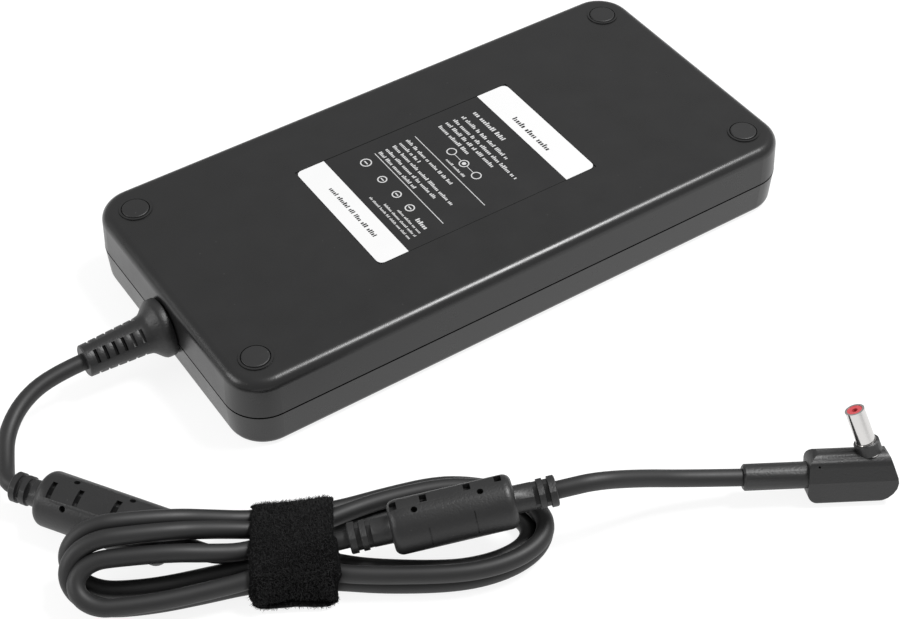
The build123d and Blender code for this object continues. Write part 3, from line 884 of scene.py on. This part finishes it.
@dataclass
class Bead:
    """A ferrite bead's moulded cover, with core-pin holes, tie slots and stepped reliefs."""

    name: str
    place: BeadPlace
    slots: tuple[tuple[float, float, float, float], ...]
    holes: tuple[tuple[float, float], ...]
    seams: tuple[tuple[float, float, float], ...] = ()
    neck: float = 3.8
    collar: float = 4.3
    plain_far_end: bool = False

    def build(self) -> bpy.types.Object:
        """Make the cover and cut its openings.

        Returns:
            The cover.
        """
        mesh = bmesh.new()
        add_lathe(mesh, self.place.matrix(), self.profile(), 72, bored=True)
        piece = mesh_object(f"{self.name}_cover_moulding", mesh)
        carve(piece, self.cutters())
        soften(piece, 0.18)
        PAINT.dress(piece, VINYL)
        return finish_piece(piece, "adapter", "moulded_vinyl", (f"{self.name}_cover",))

    def profile(self) -> Outline:
        """Draw the cover's outline from one relief's tip to the other's.

        Returns:
            Places along the axis with their radii, in millimetres.
        """
        radius, length = self.place.radius, self.place.length
        body = []
        for index in range(9):
            turn = math.pi / 2 * index / 8
            body.append((2.4 - 2.4 * math.cos(turn), radius - 2.0 + 2.0 * math.sin(turn)))
        near = self.relief_profile()
        far = [(length - x, r) for x, r in reversed(near)]
        if self.plain_far_end:
            far = [(length, 3.6), (length + 5.0, 2.9), (length + 6.0, 2.55)]
        return near + body + [(length - x, r) for x, r in reversed(body)] + far

    def relief_profile(self) -> Outline:
        """Draw the stepped relief's outline from its tip to the body.

        Returns:
            Places along the axis with their radii, in millimetres.
        """
        tip = -self.place.relief
        steps = [(tip, 2.55), (tip, self.collar - 0.3), (tip + 0.3, self.collar), (tip + 2.0, self.collar)]
        steps += [(tip + 2.1, self.neck - 0.1), (tip + 3.3, self.neck - 0.1), (tip + 3.4, self.collar - 0.1)]
        steps += [(tip + 5.0, self.collar - 0.1), (tip + 5.1, self.neck - 0.1), (tip + 6.3, self.neck - 0.1)]
        steps += [(tip + 6.4, self.neck), (-0.3, self.neck + 0.1), (0.0, self.neck + 0.3)]
        return steps

    def cutters(self) -> bpy.types.Object:
        """Make one shape out of everything that is cut away.

        Returns:
            The cutting shape.
        """
        mesh = bmesh.new()
        place, radius = self.place.matrix(), self.place.radius
        for along, turn, width, span in self.slots:
            spin = place @ Matrix.Rotation(math.radians(turn - 90), 4, "X")
            low = (along - width / 2, -span / 2, radius - 1.6)
            add_block(mesh, spin, low, (along + width / 2, span / 2, radius + 2))
        for along, turn in self.holes:
            spin = place @ Matrix.Rotation(math.radians(turn), 4, "X")
            spin = spin @ Matrix.Translation((along * MM, 0, 0))
            outwards = spin @ Matrix.Rotation(math.radians(90), 4, "Z")
            add_lathe(mesh, outwards, [(radius - 1.8, 0.9), (radius + 2.0, 0.9)], 20)
        tip, far = -self.place.relief, self.place.length + self.place.relief
        grips = [tip + 2.7, tip + 5.7]
        if not self.plain_far_end:
            grips += [far - 2.7, far - 5.7]
        for along in grips:
            for turn in (40, 220):
                spin = place @ Matrix.Rotation(math.radians(turn), 4, "X")
                add_block(mesh, spin, (along - 0.6, -3.4, 2.75), (along + 0.6, 3.4, 6.0))
        for along, low, high in self.seams:
            for index in range(8):
                turn = low + (high - low) * (index + 0.5) / 8
                spin = place @ Matrix.Rotation(math.radians(turn - 90), 4, "X")
                add_block(mesh, spin, (along - 0.16, -0.5, radius - 0.28), (along + 0.16, 0.5, radius + 1.0))
        return mesh_object(f"{self.name}_cutters", mesh, False)


@dataclass
class Boot:
    """The ribbed strain relief: flange, cone and a sleeve with rows of windows."""

    height: float = 12.6
    tip: float = -126.3
    pitch: float = 2.9
    count: int = 6
    bore: float = 2.55

    def build(self) -> bpy.types.Object:
        """Make the boot and cut its windows.

        Returns:
            The boot.
        """
        mesh = bmesh.new()
        add_lathe(mesh, self.place(), self.profile(), 72, bored=True)
        piece = mesh_object("boot_moulding", mesh)
        carve(piece, self.windows())
        soften(piece, 0.15)
        PAINT.dress(piece, VINYL)
        return finish_piece(piece, "adapter", "moulded_vinyl", ("strain_relief",))

    def place(self) -> Matrix:
        """Return the boot's axis."""
        return Matrix.Translation((0, 0, self.height * MM))

    def radius(self, x: float) -> float:
        """Return the sleeve's radius at one place along it."""
        return 4.95 + (x - self.tip) * 0.045

    def profile(self) -> Outline:
        """Draw the outline from the tip, over the sleeve and the flange, to the root.

        Returns:
            Places along the axis with their radii, in millimetres.
        """
        points = [(self.tip, self.bore), (self.tip, 4.5), (self.tip + 0.35, self.radius(self.tip))]
        points += [(self.tip + 0.8, self.radius(self.tip)), (-108.0, self.radius(-108.0))]
        points += [(-106.4, 6.1), (-105.6, 6.6), (-104.0, 8.2)]
        points += [(-103.4, 8.75), (-102.8, 9.1), (-102.0, 9.2)]
        points += [(-100.6, 9.2), (-100.15, 9.0), (-100.0, 8.6), (-100.0, 6.3), (-96.0, 6.3), (-96.0, 8.0)]
        return points + [(-93.0, 8.0), (-93.0, self.bore)]

    def windows(self) -> bpy.types.Object:
        """Make one shape out of all the windows.

        Returns:
            The cutting shape.
        """
        mesh = bmesh.new()
        for index in range(self.count):
            x = self.tip + 3.1 + index * self.pitch
            reach = 1.9 if index < 4 else 0.85
            for turn in (45, 225):
                spin = self.place() @ Matrix.Rotation(math.radians(turn), 4, "X")
                top = self.radius(x)
                add_block(mesh, spin, (x - 0.5, -2.1, top - reach), (x + 0.5, 2.1, top + 3))
                side = spin @ Matrix.Rotation(math.radians(90), 4, "X")
                add_block(mesh, side, (x - 0.5, -2.6, top - 0.75), (x + 0.5, 2.6, top + 3))
        return mesh_object("boot_windows", mesh, False)


@dataclass
class PlugBody:
    """The right-angle plug's moulding: neck, slab with a bevelled back, and barrel boss."""

    start: Point = (7.6, -137.5, 8.0)
    angle: float = -30.6
    roll: float = 21.0
    slab_roll: float = 2.0
    lean: float = 21.2
    neck: float = 3.75

    def place(self) -> Matrix:
        """Work out the plug's axes: X along the neck, Z towards the barrel.

        Returns:
            The axes, from the corner where the barrel turns off.
        """
        turn = math.radians(self.angle)
        along = Vector((math.cos(turn), math.sin(turn), 0))
        rear = Vector((-along.y, along.x, 0))
        tilt = math.radians(self.roll)
        up = rear * math.sin(tilt) + Vector((0, 0, math.cos(tilt)))
        return axes(Vector(self.start) * MM + along * 19.3 * MM, along, up)

    def build(self) -> bpy.types.Object:
        """Make the slab, join the neck and the boss, and bore it for the barrel.

        Returns:
            The plug's moulding.
        """
        place = self.place()
        side = rounded([(-1.5, -8.2, 4.0), (26.3, -8.2, 6.0), (20.6, 7.2, 2.2), (-1.5, 7.2, 3.6)])
        mesh = bmesh.new()
        add_loft(mesh, [[place @ (Vector((x, y, z)) * MM) for x, z in side] for y in (-6.0, 6.0)])
        piece = mesh_object("plug_moulding", mesh)
        carve(piece, self.slab(place), "INTERSECT")
        turn = place @ Matrix.Rotation(math.radians(-self.slab_roll), 4, "X") @ place.inverted()
        piece.data.transform(turn)
        neck_place = place @ Matrix.Translation((-0.0193, 0, 0))
        carve(piece, self.round_bar(neck_place, self.neck_profile(), "neck"), "UNION")
        barrel = self.barrel_place()
        carve(piece, self.round_bar(barrel, [(-3.6, 3.6), (-0.4, 3.6), (0.0, 3.3)], "boss"), "UNION")
        carve(piece, self.round_bar(barrel, [(-6.0, 2.98), (0.5, 2.98)], "bore"))
        pits = self.round_bar(place @ self.pit(1.2, 4.3), [(-1.0, 0.35), (1.0, 0.35)], "pit", 16)
        carve(piece, pits)
        soften(piece, 0.3, 30.0)
        for polygon in piece.data.polygons:
            polygon.use_smooth = polygon.area < 50 * MM * MM
        PAINT.dress(piece, VINYL)
        return finish_piece(piece, "adapter", "moulded_vinyl", ("plug_body",))

    def slab(self, place: Matrix) -> bpy.types.Object:
        """Make the long bar whose section is the slab's.

        Args:
            place: The plug's axes.

        Returns:
            The bar.
        """
        left = [(-4.1, -0.9, 0.4), (-2.2, -8.2, 1.0)]
        right = [(2.2, -8.2, 1.0), (4.1, -0.9, 0.4)]
        section = rounded([*left, *right, (4.1, 7.2, 3.4), (-4.1, 7.2, 3.4)])
        mesh = bmesh.new()
        add_loft(mesh, [[place @ (Vector((x, y, z)) * MM) for y, z in section] for x in (-4.0, 30.0)])
        return mesh_object("plug_slab", mesh)

    def neck_profile(self) -> Outline:
        """Return the neck's outline, with its stepped and rounded end."""
        near = [(0.0, 2.6), (0.0, self.neck - 0.5), (0.5, self.neck)]
        return near + [(19.3, self.neck), (20.3, self.neck - 1)]

    @staticmethod
    def pit(x: float, z: float) -> Matrix:
        """Place a small moulding pit on the slab's front."""
        return Matrix.Translation((x * MM, -4.1 * MM, z * MM)) @ Matrix.Rotation(math.radians(90), 4, "Z")

    def barrel_place(self) -> Matrix:
        """Return the barrel's axis, from the boss's face."""
        tilt = math.radians(self.lean)
        direction = Vector((-math.sin(tilt), 0, math.cos(tilt)))
        return self.place() @ axes(Vector((14.5, 0, 10.0)) * MM, direction, Vector((0, 1, 0)))

    @staticmethod
    def round_bar(place: Matrix, profile: Outline, name: str, steps: int = 64) -> bpy.types.Object:
        """Make one turned bar for joining or boring.

        Args:
            place: The bar's axis.
            profile: Places along the axis with their radii, in millimetres.
            name: What the bar is.
            steps: How many sides it has.

        Returns:
            The bar.
        """
        mesh = bmesh.new()
        add_lathe(mesh, place, profile, steps)
        return mesh_object(f"plug_{name}", mesh)


# ---------------------------------------------------------------- hook-and-loop wrap


@dataclass
class Wrap:
    """The hook-and-loop wrap, pulled tight round the turns."""

    half_length: float = 11.0
    thick: float = 1.7
    under: float = 1.2
    wall: float = 0.9
    slack: float = 3.3
    steps: int = 72
    stations: int = 13

    def strands(self, along: float) -> list[tuple[float, float]]:
        """Find where the cord's turns pass one section of the wrap.

        Args:
            along: The section's place along the bundle, in millimetres.

        Returns:
            Each strand's place across the bundle and its height.
        """
        inverse = BUNDLE.matrix().inverted()
        points = [inverse @ p / MM for p in Cord().route()]
        found = []
        for first, second in zip(points, points[1:]):
            near = abs(first.y) < 16 and abs(second.y) < 16 and first.x != second.x
            if near and (first.x - along) * (second.x - along) <= 0:
                spot = first.lerp(second, (along - first.x) / (second.x - first.x))
                found.append((spot.y, spot.z))
        return found

    def outline(self, along: float, inset: float) -> list[tuple[float, float]]:
        """Draw the tight outline of one section.

        Args:
            along: The section's place along the bundle, in millimetres.
            inset: How far inside the wrap's outer face the outline lies.

        Returns:
            Points across and up, anticlockwise from the rear.
        """
        strands = self.strands(along)
        reach = []
        for index in range(self.steps):
            turn = 2 * math.pi * index / self.steps
            across, up = math.cos(turn), math.sin(turn)
            cover = self.under + (self.thick - self.under) * max(0.0, up)
            slack = self.slack * (1 - 0.3 * (along / self.half_length) ** 6)
            cover += slack * math.exp(-(((math.degrees(turn) - 208) / 36) ** 2))
            reach.append(max(y * across + z * up for y, z in strands) + 2.55 + cover - inset)
        points = []
        for index in range(self.steps):
            turn = 2 * math.pi * index / self.steps
            slope = (reach[(index + 1) % self.steps] - reach[index - 1]) / (4 * math.pi / self.steps)
            across = reach[index] * math.cos(turn) - slope * math.sin(turn)
            up = reach[index] * math.sin(turn) + slope * math.cos(turn)
            points.append((across, max(up, 0.05 + inset)))
        return points

    def edge_shift(self, index: int, share: float) -> float:
        """Find how far the wrap's waving edges move a point along the bundle.

        Args:
            index: The point's place round the outline.
            share: Its place from the left edge, 0, to the right edge, 1.

        Returns:
            The shift in millimetres.
        """
        turn = 360 * index / self.steps
        right = 1.7 * math.exp(-(((turn - 138) / 34) ** 2)) + 0.3 * math.sin(turn * 0.11)
        left = -0.7 * math.exp(-(((turn - 150) / 40) ** 2)) + 0.3 * math.sin(turn * 0.09 + 2)
        return left * (1 - share) ** 3 + right * share ** 3

    def ring(self, share: float, inset: float) -> list[Vector]:
        """Place one section's outline in the adapter's frame.

        Args:
            share: The section's place from the left edge, 0, to the right edge, 1.
            inset: How far inside the outer face it lies.

        Returns:
            The outline's points, in metres.
        """
        along = self.half_length * (2 * share - 1)
        points = enumerate(self.outline(along, inset))
        return [BUNDLE.at((along + self.edge_shift(i, share), y, z)) for i, (y, z) in points]

    def build(self) -> bpy.types.Object:
        """Make the wrap's band.

        Returns:
            The band.
        """
        shares = [i / (self.stations - 1) for i in range(self.stations)]
        outer = [self.ring(share, 0.0) for share in shares]
        inner = [self.ring(share, self.wall) for share in shares]
        edge = self.wall * 0.35
        outer[0], outer[-1] = self.ring(0.0, edge), self.ring(1.0, edge)
        mesh = bmesh.new()
        add_loft(mesh, outer + inner[::-1], closed=True)
        piece = mesh_object("wrap_band", mesh)
        PAINT.dress(piece, PILE)
        return finish_piece(piece, "adapter", "hook_and_loop", ("strap_wrap",))

    def ground(self) -> bpy.types.Mesh:
        """Make the outer face alone, which the pile stands on.

        Returns:
            The face as an open mesh.
        """
        rings = [self.ring(i / (self.stations - 1), 0.15) for i in range(self.stations)]
        rings[0], rings[-1] = self.ring(0.0, self.wall), self.ring(1.0, self.wall)
        mesh = bmesh.new()
        add_loft(mesh, rings, caps=False)
        return open_mesh("wrap_face", mesh, BUNDLE.at((0.0, 0.0, 9.0)))


def open_mesh(name: str, mesh: bmesh.types.BMesh, inside: Vector) -> bpy.types.Mesh:
    """Turn an open bmesh into mesh data that faces away from a point.

    Args:
        name: The mesh's name.
        mesh: The bmesh, which is freed.
        inside: A point behind the faces.

    Returns:
        The mesh data.
    """
    mesh.normal_update()
    facing = sum(1 if (f.calc_center_median() - inside).dot(f.normal) > 0 else -1 for f in mesh.faces)
    if facing < 0:
        bmesh.ops.reverse_faces(mesh, faces=mesh.faces)
    data = bpy.data.meshes.new(name)
    mesh.to_mesh(data)
    mesh.free()
    return data


@dataclass
class PileFibres:
    """Short curled fibres that stand on the wrap, scattered by a node tree."""

    density: float = 4.4e6
    length: float = 1.3
    thickness: float = 0.16
    seed: int = 11

    def build(self, ground: bpy.types.Mesh, name: str, body: str) -> bpy.types.Object:
        """Scatter the fibres over a face.

        Args:
            ground: The face that they stand on.
            name: The new piece's name.
            body: The body that they move with.

        Returns:
            The fibres, as one plain mesh.
        """
        fibre = self.one_fibre()
        tree = self.make_tree(fibre)
        piece = bpy.data.objects.new(name, ground.copy())
        bpy.context.scene.collection.objects.link(piece)
        tool = piece.modifiers.new("scatter", "NODES")
        tool.node_group = tree
        for item in tree.interface.items_tree:
            if item.in_out == "INPUT" and item.name == "Density":
                tool[item.identifier] = self.density
            if item.in_out == "INPUT" and item.name == "Seed":
                tool[item.identifier] = self.seed
        bake(piece)
        bpy.data.objects.remove(fibre)
        LOG.info("%s has %d faces", name, len(piece.data.polygons))
        return finish_piece(piece, body, "hook_and_loop")

    def one_fibre(self) -> bpy.types.Object:
        """Make the one bent fibre that is repeated.

        Returns:
            The fibre, which the tree copies.
        """
        mesh = bmesh.new()
        rings = []
        for index in range(3):
            share = index / 2
            bend = 0.45 * self.length * share ** 2
            width = self.thickness / 2 * (1 - 0.6 * share)
            ring = []
            for corner in range(3):
                turn = 2 * math.pi * corner / 3
                height = self.length * share * (1 - 0.3 * share)
                spot = Vector((width * math.cos(turn) + bend, width * math.sin(turn), height))
                ring.append(spot * MM)
            rings.append(ring)
        add_loft(mesh, rings)
        return mesh_object("fibre_pattern", mesh)

    def make_tree(self, fibre: bpy.types.Object) -> bpy.types.NodeTree:
        """Make the tree that scatters, turns and sizes the fibres.

        Args:
            fibre: The fibre to repeat.

        Returns:
            The geometry node tree.
        """
        tree = bpy.data.node_groups.new("scatter_fibres", "GeometryNodeTree")
        tree.interface.new_socket("Geometry", in_out="INPUT", socket_type="NodeSocketGeometry")
        tree.interface.new_socket("Density", in_out="INPUT", socket_type="NodeSocketFloat")
        tree.interface.new_socket("Seed", in_out="INPUT", socket_type="NodeSocketInt")
        tree.interface.new_socket("Geometry", in_out="OUTPUT", socket_type="NodeSocketGeometry")
        nodes, links = tree.nodes, tree.links
        source, target = nodes.new("NodeGroupInput"), nodes.new("NodeGroupOutput")
        scatter = nodes.new("GeometryNodeDistributePointsOnFaces")
        links.new(source.outputs["Geometry"], scatter.inputs["Mesh"])
        links.new(source.outputs["Density"], scatter.inputs["Density"])
        links.new(source.outputs["Seed"], scatter.inputs["Seed"])
        shape = nodes.new("GeometryNodeObjectInfo")
        shape.inputs["Object"].default_value = fibre
        spin = nodes.new("FunctionNodeRandomValue")
        spin.data_type = "FLOAT_VECTOR"
        spin.inputs["Min"].default_value = (-0.75, -0.75, 0.0)
        spin.inputs["Max"].default_value = (0.75, 0.75, 6.283)
        links.new(source.outputs["Seed"], spin.inputs["Seed"])
        turn = nodes.new("FunctionNodeRotateRotation")
        turn.rotation_space = "LOCAL"
        links.new(scatter.outputs["Rotation"], turn.inputs["Rotation"])
        links.new(spin.outputs["Value"], turn.inputs["Rotate By"])
        size = nodes.new("FunctionNodeRandomValue")
        size.data_type = "FLOAT"
        size.inputs[2].default_value = 0.45
        size.inputs[3].default_value = 1.15
        links.new(source.outputs["Seed"], size.inputs["Seed"])
        stand = nodes.new("GeometryNodeInstanceOnPoints")
        links.new(scatter.outputs["Points"], stand.inputs["Points"])
        links.new(shape.outputs["Geometry"], stand.inputs["Instance"])
        links.new(turn.outputs["Rotation"], stand.inputs["Rotation"])
        links.new(size.outputs[1], stand.inputs["Scale"])
        solid = nodes.new("GeometryNodeRealizeInstances")
        links.new(stand.outputs["Instances"], solid.inputs["Geometry"])
        paint = nodes.new("GeometryNodeSetMaterial")
        # The fibres take the lighter finish, a painted highlight on the pile.
        paint.inputs["Material"].default_value = PAINT.get(FIBRE_HIGHLIGHT)
        links.new(solid.outputs["Geometry"], paint.inputs["Geometry"])
        links.new(paint.outputs["Geometry"], target.inputs["Geometry"])
        return tree


@dataclass
class FreeEnd:
    """The wrap's free end, which lies down its front and peels away."""

    wrap: Wrap
    low_along: float = -9.6
    high_along: float = 10.7
    top: float = 11.6
    bottom: float = 3.0
    proud: float = 0.6
    thick: float = 1.0

    def build(self) -> bpy.types.Object:
        """Make the free end, following the wrap's front.

        Returns:
            The free end.
        """
        mesh = bmesh.new()
        add_loft(mesh, [self.section(column / 10, self.thick) for column in range(11)])
        piece = mesh_object("wrap_free_end", mesh)
        PAINT.dress(piece, PILE)
        return finish_piece(piece, "strap_end", "hook_and_loop", ("strap_tab",))

    def ground(self) -> bpy.types.Mesh:
        """Make the free end's outer face alone, which its pile stands on.

        Returns:
            The face's mesh.
        """
        mesh = bmesh.new()
        rows = [self.section(column / 10, self.thick)[:9] for column in range(11)]
        points = [[mesh.verts.new(point) for point in row] for row in rows]
        for near, far in zip(points, points[1:]):
            for index in range(8):
                mesh.faces.new((near[index], near[index + 1], far[index + 1], far[index]))
        return open_mesh("free_end_face", mesh, BUNDLE.at((0.0, 0.0, 8.0)))

    def section(self, share: float, thick: float) -> list[Vector]:
        """Draw one section: the outer face downwards, then the inner face upwards.

        Args:
            share: The section's place from the left end, 0, to the right end, 1.
            thick: The free end's thickness, in millimetres.

        Returns:
            The section's points, in metres.
        """
        along = self.low_along + (self.high_along - self.low_along) * share
        outline = self.wrap.outline(along, 0.0)
        outer, inner = [], []
        for step in range(9):
            level = self.top + (self.bottom - self.top) * step / 8
            front = self.front_of(outline, level)
            rise = self.proud * min(1.0, 0.15 + step / 3)
            outer.append(BUNDLE.at((along, front - rise, level)))
            inner.append(BUNDLE.at((along, front - rise + thick, level)))
        return outer + inner[::-1]

    @staticmethod
    def front_of(outline: Outline, level: float) -> float:
        """Find how far forward an outline reaches at one height.

        Args:
            outline: The outline's points across the bundle and upwards.
            level: The height, in millimetres.

        Returns:
            The foremost place across the bundle, in millimetres.
        """
        reach = []
        for (y0, z0), (y1, z1) in zip(outline, outline[1:] + outline[:1]):
            if z0 != z1 and min(z0, z1) <= level <= max(z0, z1):
                reach.append(y0 + (y1 - y0) * (level - z0) / (z1 - z0))
        return min(reach)


# ---------------------------------------------------------------- label


@dataclass
class Label:
    """The rating label's printing: white end bands, rules and rows of generic marks."""

    top: float = 25.36
    band_depth: float = 10.2
    half_length: float = 39.8
    half_width: float = 24.8
    rows: tuple[tuple[float, float, float, float], ...] = (
        (23.4, 18.4, 1.8, 1.7),
        (19.0, 18.8, -6.5, 1.4),
        (15.9, 19.0, -16.0, 1.4),
        (13.1, 19.1, -7.0, 1.4),
        (10.2, 18.9, 2.2, 1.4),
        (3.0, 4.0, -6.0, 0.9),
        (-2.2, 18.9, -6.9, 1.25),
        (-4.8, 18.8, 7.3, 1.25),
        (-7.3, 18.8, -14.8, 1.25),
        (-10.0, 18.7, -9.5, 1.25),
        (-12.6, 18.7, -2.1, 1.25),
        (-19.8, -14.2, -20.2, 1.6),
        (-22.4, -7.6, -20.2, 0.9),
        (-24.4, -3.0, -20.6, 0.9),
        (-26.4, 2.2, -20.9, 0.9),
    )

    def build(self) -> None:
        """Print the bands and the marks."""
        self.make_bands()
        self.make_marks()

    def make_bands(self) -> None:
        """Lay the two white bands at the label's short ends."""
        mesh = bmesh.new()
        wide = self.half_width
        left_inner = -self.half_length + self.band_depth
        for inner, outer in ((left_inner, -self.half_length), (28.6, self.half_length)):
            corners = [(inner, wide, 0.0), (outer, wide, 2.0), (outer, -wide, 2.0), (inner, -wide, 0.0)]
            outline = rounded(corners)
            levels = (self.top - 0.05, self.top + 0.02)
            add_loft(mesh, [[Vector((x, y, z)) * MM for x, y in outline] for z in levels])
        piece = mesh_object("label_bands", mesh, False)
        PAINT.dress(piece, WHITE_INK)
        finish_piece(piece, "adapter", "label")

    def make_marks(self) -> None:
        """Lay the pale printed rows, rules and simple symbols between the bands."""
        mesh = bmesh.new()
        dice = random.Random(21)
        for along, start, end, tall in self.rows:
            self.row(mesh, dice, along, start, end, tall)
        for along, end in ((0.8, -20.5), (-14.3, -20.3)):
            self.bar(mesh, along - 0.13, along + 0.13, end, 19.0)
        for across in (6.3, -0.7, -7.6):
            self.circle(mesh, 6.4, across, 1.7, 0.36)
        self.circle(mesh, 6.4, -0.7, 0.7, 0.69)
        self.bar(mesh, 6.3, 6.5, 0.9, 4.6)
        self.bar(mesh, 6.3, 6.5, -5.9, -2.3)
        for across, radius in ((16.8, 1.9), (7.2, 1.6), (-1.2, 1.6), (-8.7, 1.6)):
            self.circle(mesh, -18.9, across, radius, 0.4)
            self.bar(mesh, -19.1, -18.7, across - radius * 0.5, across + radius * 0.5)
        piece = mesh_object("label_printing", mesh, False)
        PAINT.dress(piece, GREY_INK)
        finish_piece(piece, "adapter", "label")
        dark = bmesh.new()
        self.row(dark, dice, 32.4, 9.0, -11.0, 1.9)
        self.row(dark, dice, -34.4, 12.5, -14.0, 1.5)
        bmesh.ops.translate(dark, verts=dark.verts, vec=(0, 0, 0.025 * MM))
        piece = mesh_object("label_dark_printing", dark, False)
        PAINT.dress(piece, LABEL_FILM)
        finish_piece(piece, "adapter", "label")

    def bar(self, mesh: bmesh.types.BMesh, low: float, high: float, near: float, far: float) -> None:
        """Print one filled bar."""
        corners = (low, near, self.top - 0.03), (high, far, self.top + 0.015)
        add_block(mesh, Matrix.Identity(4), *corners)

    def row(
        self,
        mesh: bmesh.types.BMesh,
        dice: random.Random,
        along: float,
        start: float,
        end: float,
        tall: float,
    ) -> None:
        """Print one row of word-like marks.

        Args:
            mesh: The bmesh to add to.
            dice: Chooses the marks' lengths.
            along: The row's place on the label.
            start: Where the row starts across the label.
            end: Where it ends.
            tall: How tall its marks are.
        """
        spot = start
        while spot > end:
            letters = dice.randint(2, 8)
            for _ in range(letters):
                width = dice.uniform(0.28, 0.42) * tall
                if spot - width < end:
                    break
                low = along - tall / 2
                self.bar(mesh, low, low + tall * dice.choice((0.66, 0.7, 1.0)), spot - width, spot)
                spot -= width + 0.2 * tall
            spot -= 0.5 * tall

    def circle(
        self, mesh: bmesh.types.BMesh, along: float, across: float, radius: float, width: float
    ) -> None:
        """Print one ring.

        Args:
            mesh: The bmesh to add to.
            along: The ring's place along the label.
            across: Its place across the label.
            radius: Its outer radius.
            width: Its line's width.
        """
        place = Matrix.Translation((along * MM, across * MM, self.top * MM))
        inner = radius - width
        turns = [2 * math.pi * index / 28 for index in range(28)]
        rings = []
        for r, z in ((radius, -0.03), (radius, 0.015), (inner, 0.015), (inner, -0.03)):
            ring = [Vector((r * MM * math.cos(a), r * MM * math.sin(a), z * MM)) for a in turns]
            rings.append([place @ spot for spot in ring])
        add_loft(mesh, rings, closed=True)


# ---------------------------------------------------------------- seam's painted shadow


@dataclass
class SeamShadow:
    """A near-black band in the gap where the casing's halves meet: painted shadow for the shade inside the
    gap.
    """

    half_length: float = 100.02
    half_width: float = 49.52
    corner: float = 12.0
    low: float = 11.95
    high: float = 12.47

    def build(self) -> bpy.types.Object:
        """Make the painted shadow in the gap as a thin closed band.

        Returns:
            The band.
        """
        mesh = bmesh.new()
        corners = ((0.0, self.low), (0.0, self.high), (0.7, self.high), (0.7, self.low))
        rings = [self.loop(inset, height) for inset, height in corners]
        add_loft(mesh, rings, closed=True)
        piece = mesh_object("casing_seam", mesh, False)
        openings = bmesh.new()
        add_block(openings, Matrix.Identity(4), (95.0, -13.9, 10.0), (105.0, 13.9, 15.0))
        add_block(openings, Matrix.Identity(4), (-105.0, -8.2, 10.0), (-95.0, 8.2, 15.0))
        carve(piece, mesh_object("seam_openings", openings, False))
        # Painted shadow: the band is near black so the gap reads as shaded.
        PAINT.dress(piece, SHADOW)
        return finish_piece(piece, "adapter", "casing")

    def loop(self, inset: float, height: float) -> list[Vector]:
        """Draw the casing's outline at one height, drawn in by an inset.

        Args:
            inset: How far the outline is drawn in, in millimetres.
            height: The outline's height, in millimetres.

        Returns:
            The outline's points, in metres.
        """
        x, y, r = self.half_length - inset, self.half_width - inset, self.corner - inset
        outline = rounded([(x, y, r), (-x, y, r), (-x, -y, r), (x, -y, r)], 16)
        return [Vector((px, py, height)) * MM for px, py in outline]


# ---------------------------------------------------------------- assembly


def write_sizes() -> None:
    """Work out the frame's box and the finished model's box."""
    boxes = {"cad": CAD_BOX, "visual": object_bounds()}
    boxes = {name: [list(corner) for corner in box] for name, box in boxes.items()}


def main() -> None:
    logging.basicConfig(level=logging.INFO, format="%(name)s: %(message)s")
    Studio().build()
    cord = Cord().build()
    PAINT.dress_nodes()
    bead_one = Bead(
        "bead_one",
        BEAD_ONE,
        ((4.7, 106.0, 1.5, 5.0), (12.9, 104.0, 1.5, 5.0), (24.1, 98.0, 1.7, 5.0)),
        ((9.8, 69.0), (9.8, 135.0), (26.9, 66.0)),
        plain_far_end=True,
    ).build()
    bead_two = Bead(
        "bead_two",
        BEAD_TWO,
        ((1.8, 77.0, 1.9, 3.2), (10.1, 73.0, 1.9, 3.2), (22.1, 69.0, 1.9, 3.2), (30.6, 65.0, 1.9, 3.2)),
        ((7.2, 99.0), (25.3, 93.0)),
        ((10.1, 144.0, 190.0), (22.7, 131.0, 186.0)),
    ).build()
    wrap = Wrap()
    band = wrap.build()
    face = wrap.ground()
    pile = [PileFibres(seed=11 + i).build(face, f"wrap_pile_{i + 1}", "adapter") for i in range(2)]
    free_end = FreeEnd(wrap)
    flap = free_end.build()
    pile.append(PileFibres(seed=17, density=9.0e6).build(free_end.ground(), "free_end_pile", "strap_end"))
    Label().build()
    SeamShadow().build()
    plug_metal = ("plug_sleeve", "plug_insulator", "plug_contact")
    in_mouldings = ("cord_in_boot", "bead_one_ferrite", "bead_two_ferrite")
    on_cord = [frame["nodes"][name] for name in plug_metal + in_mouldings]
    on_cord += [Boot().build(), PlugBody().build(), bead_one, bead_two, band, flap, *pile]
    write_sizes()


if __name__ == "__main__":
    main()
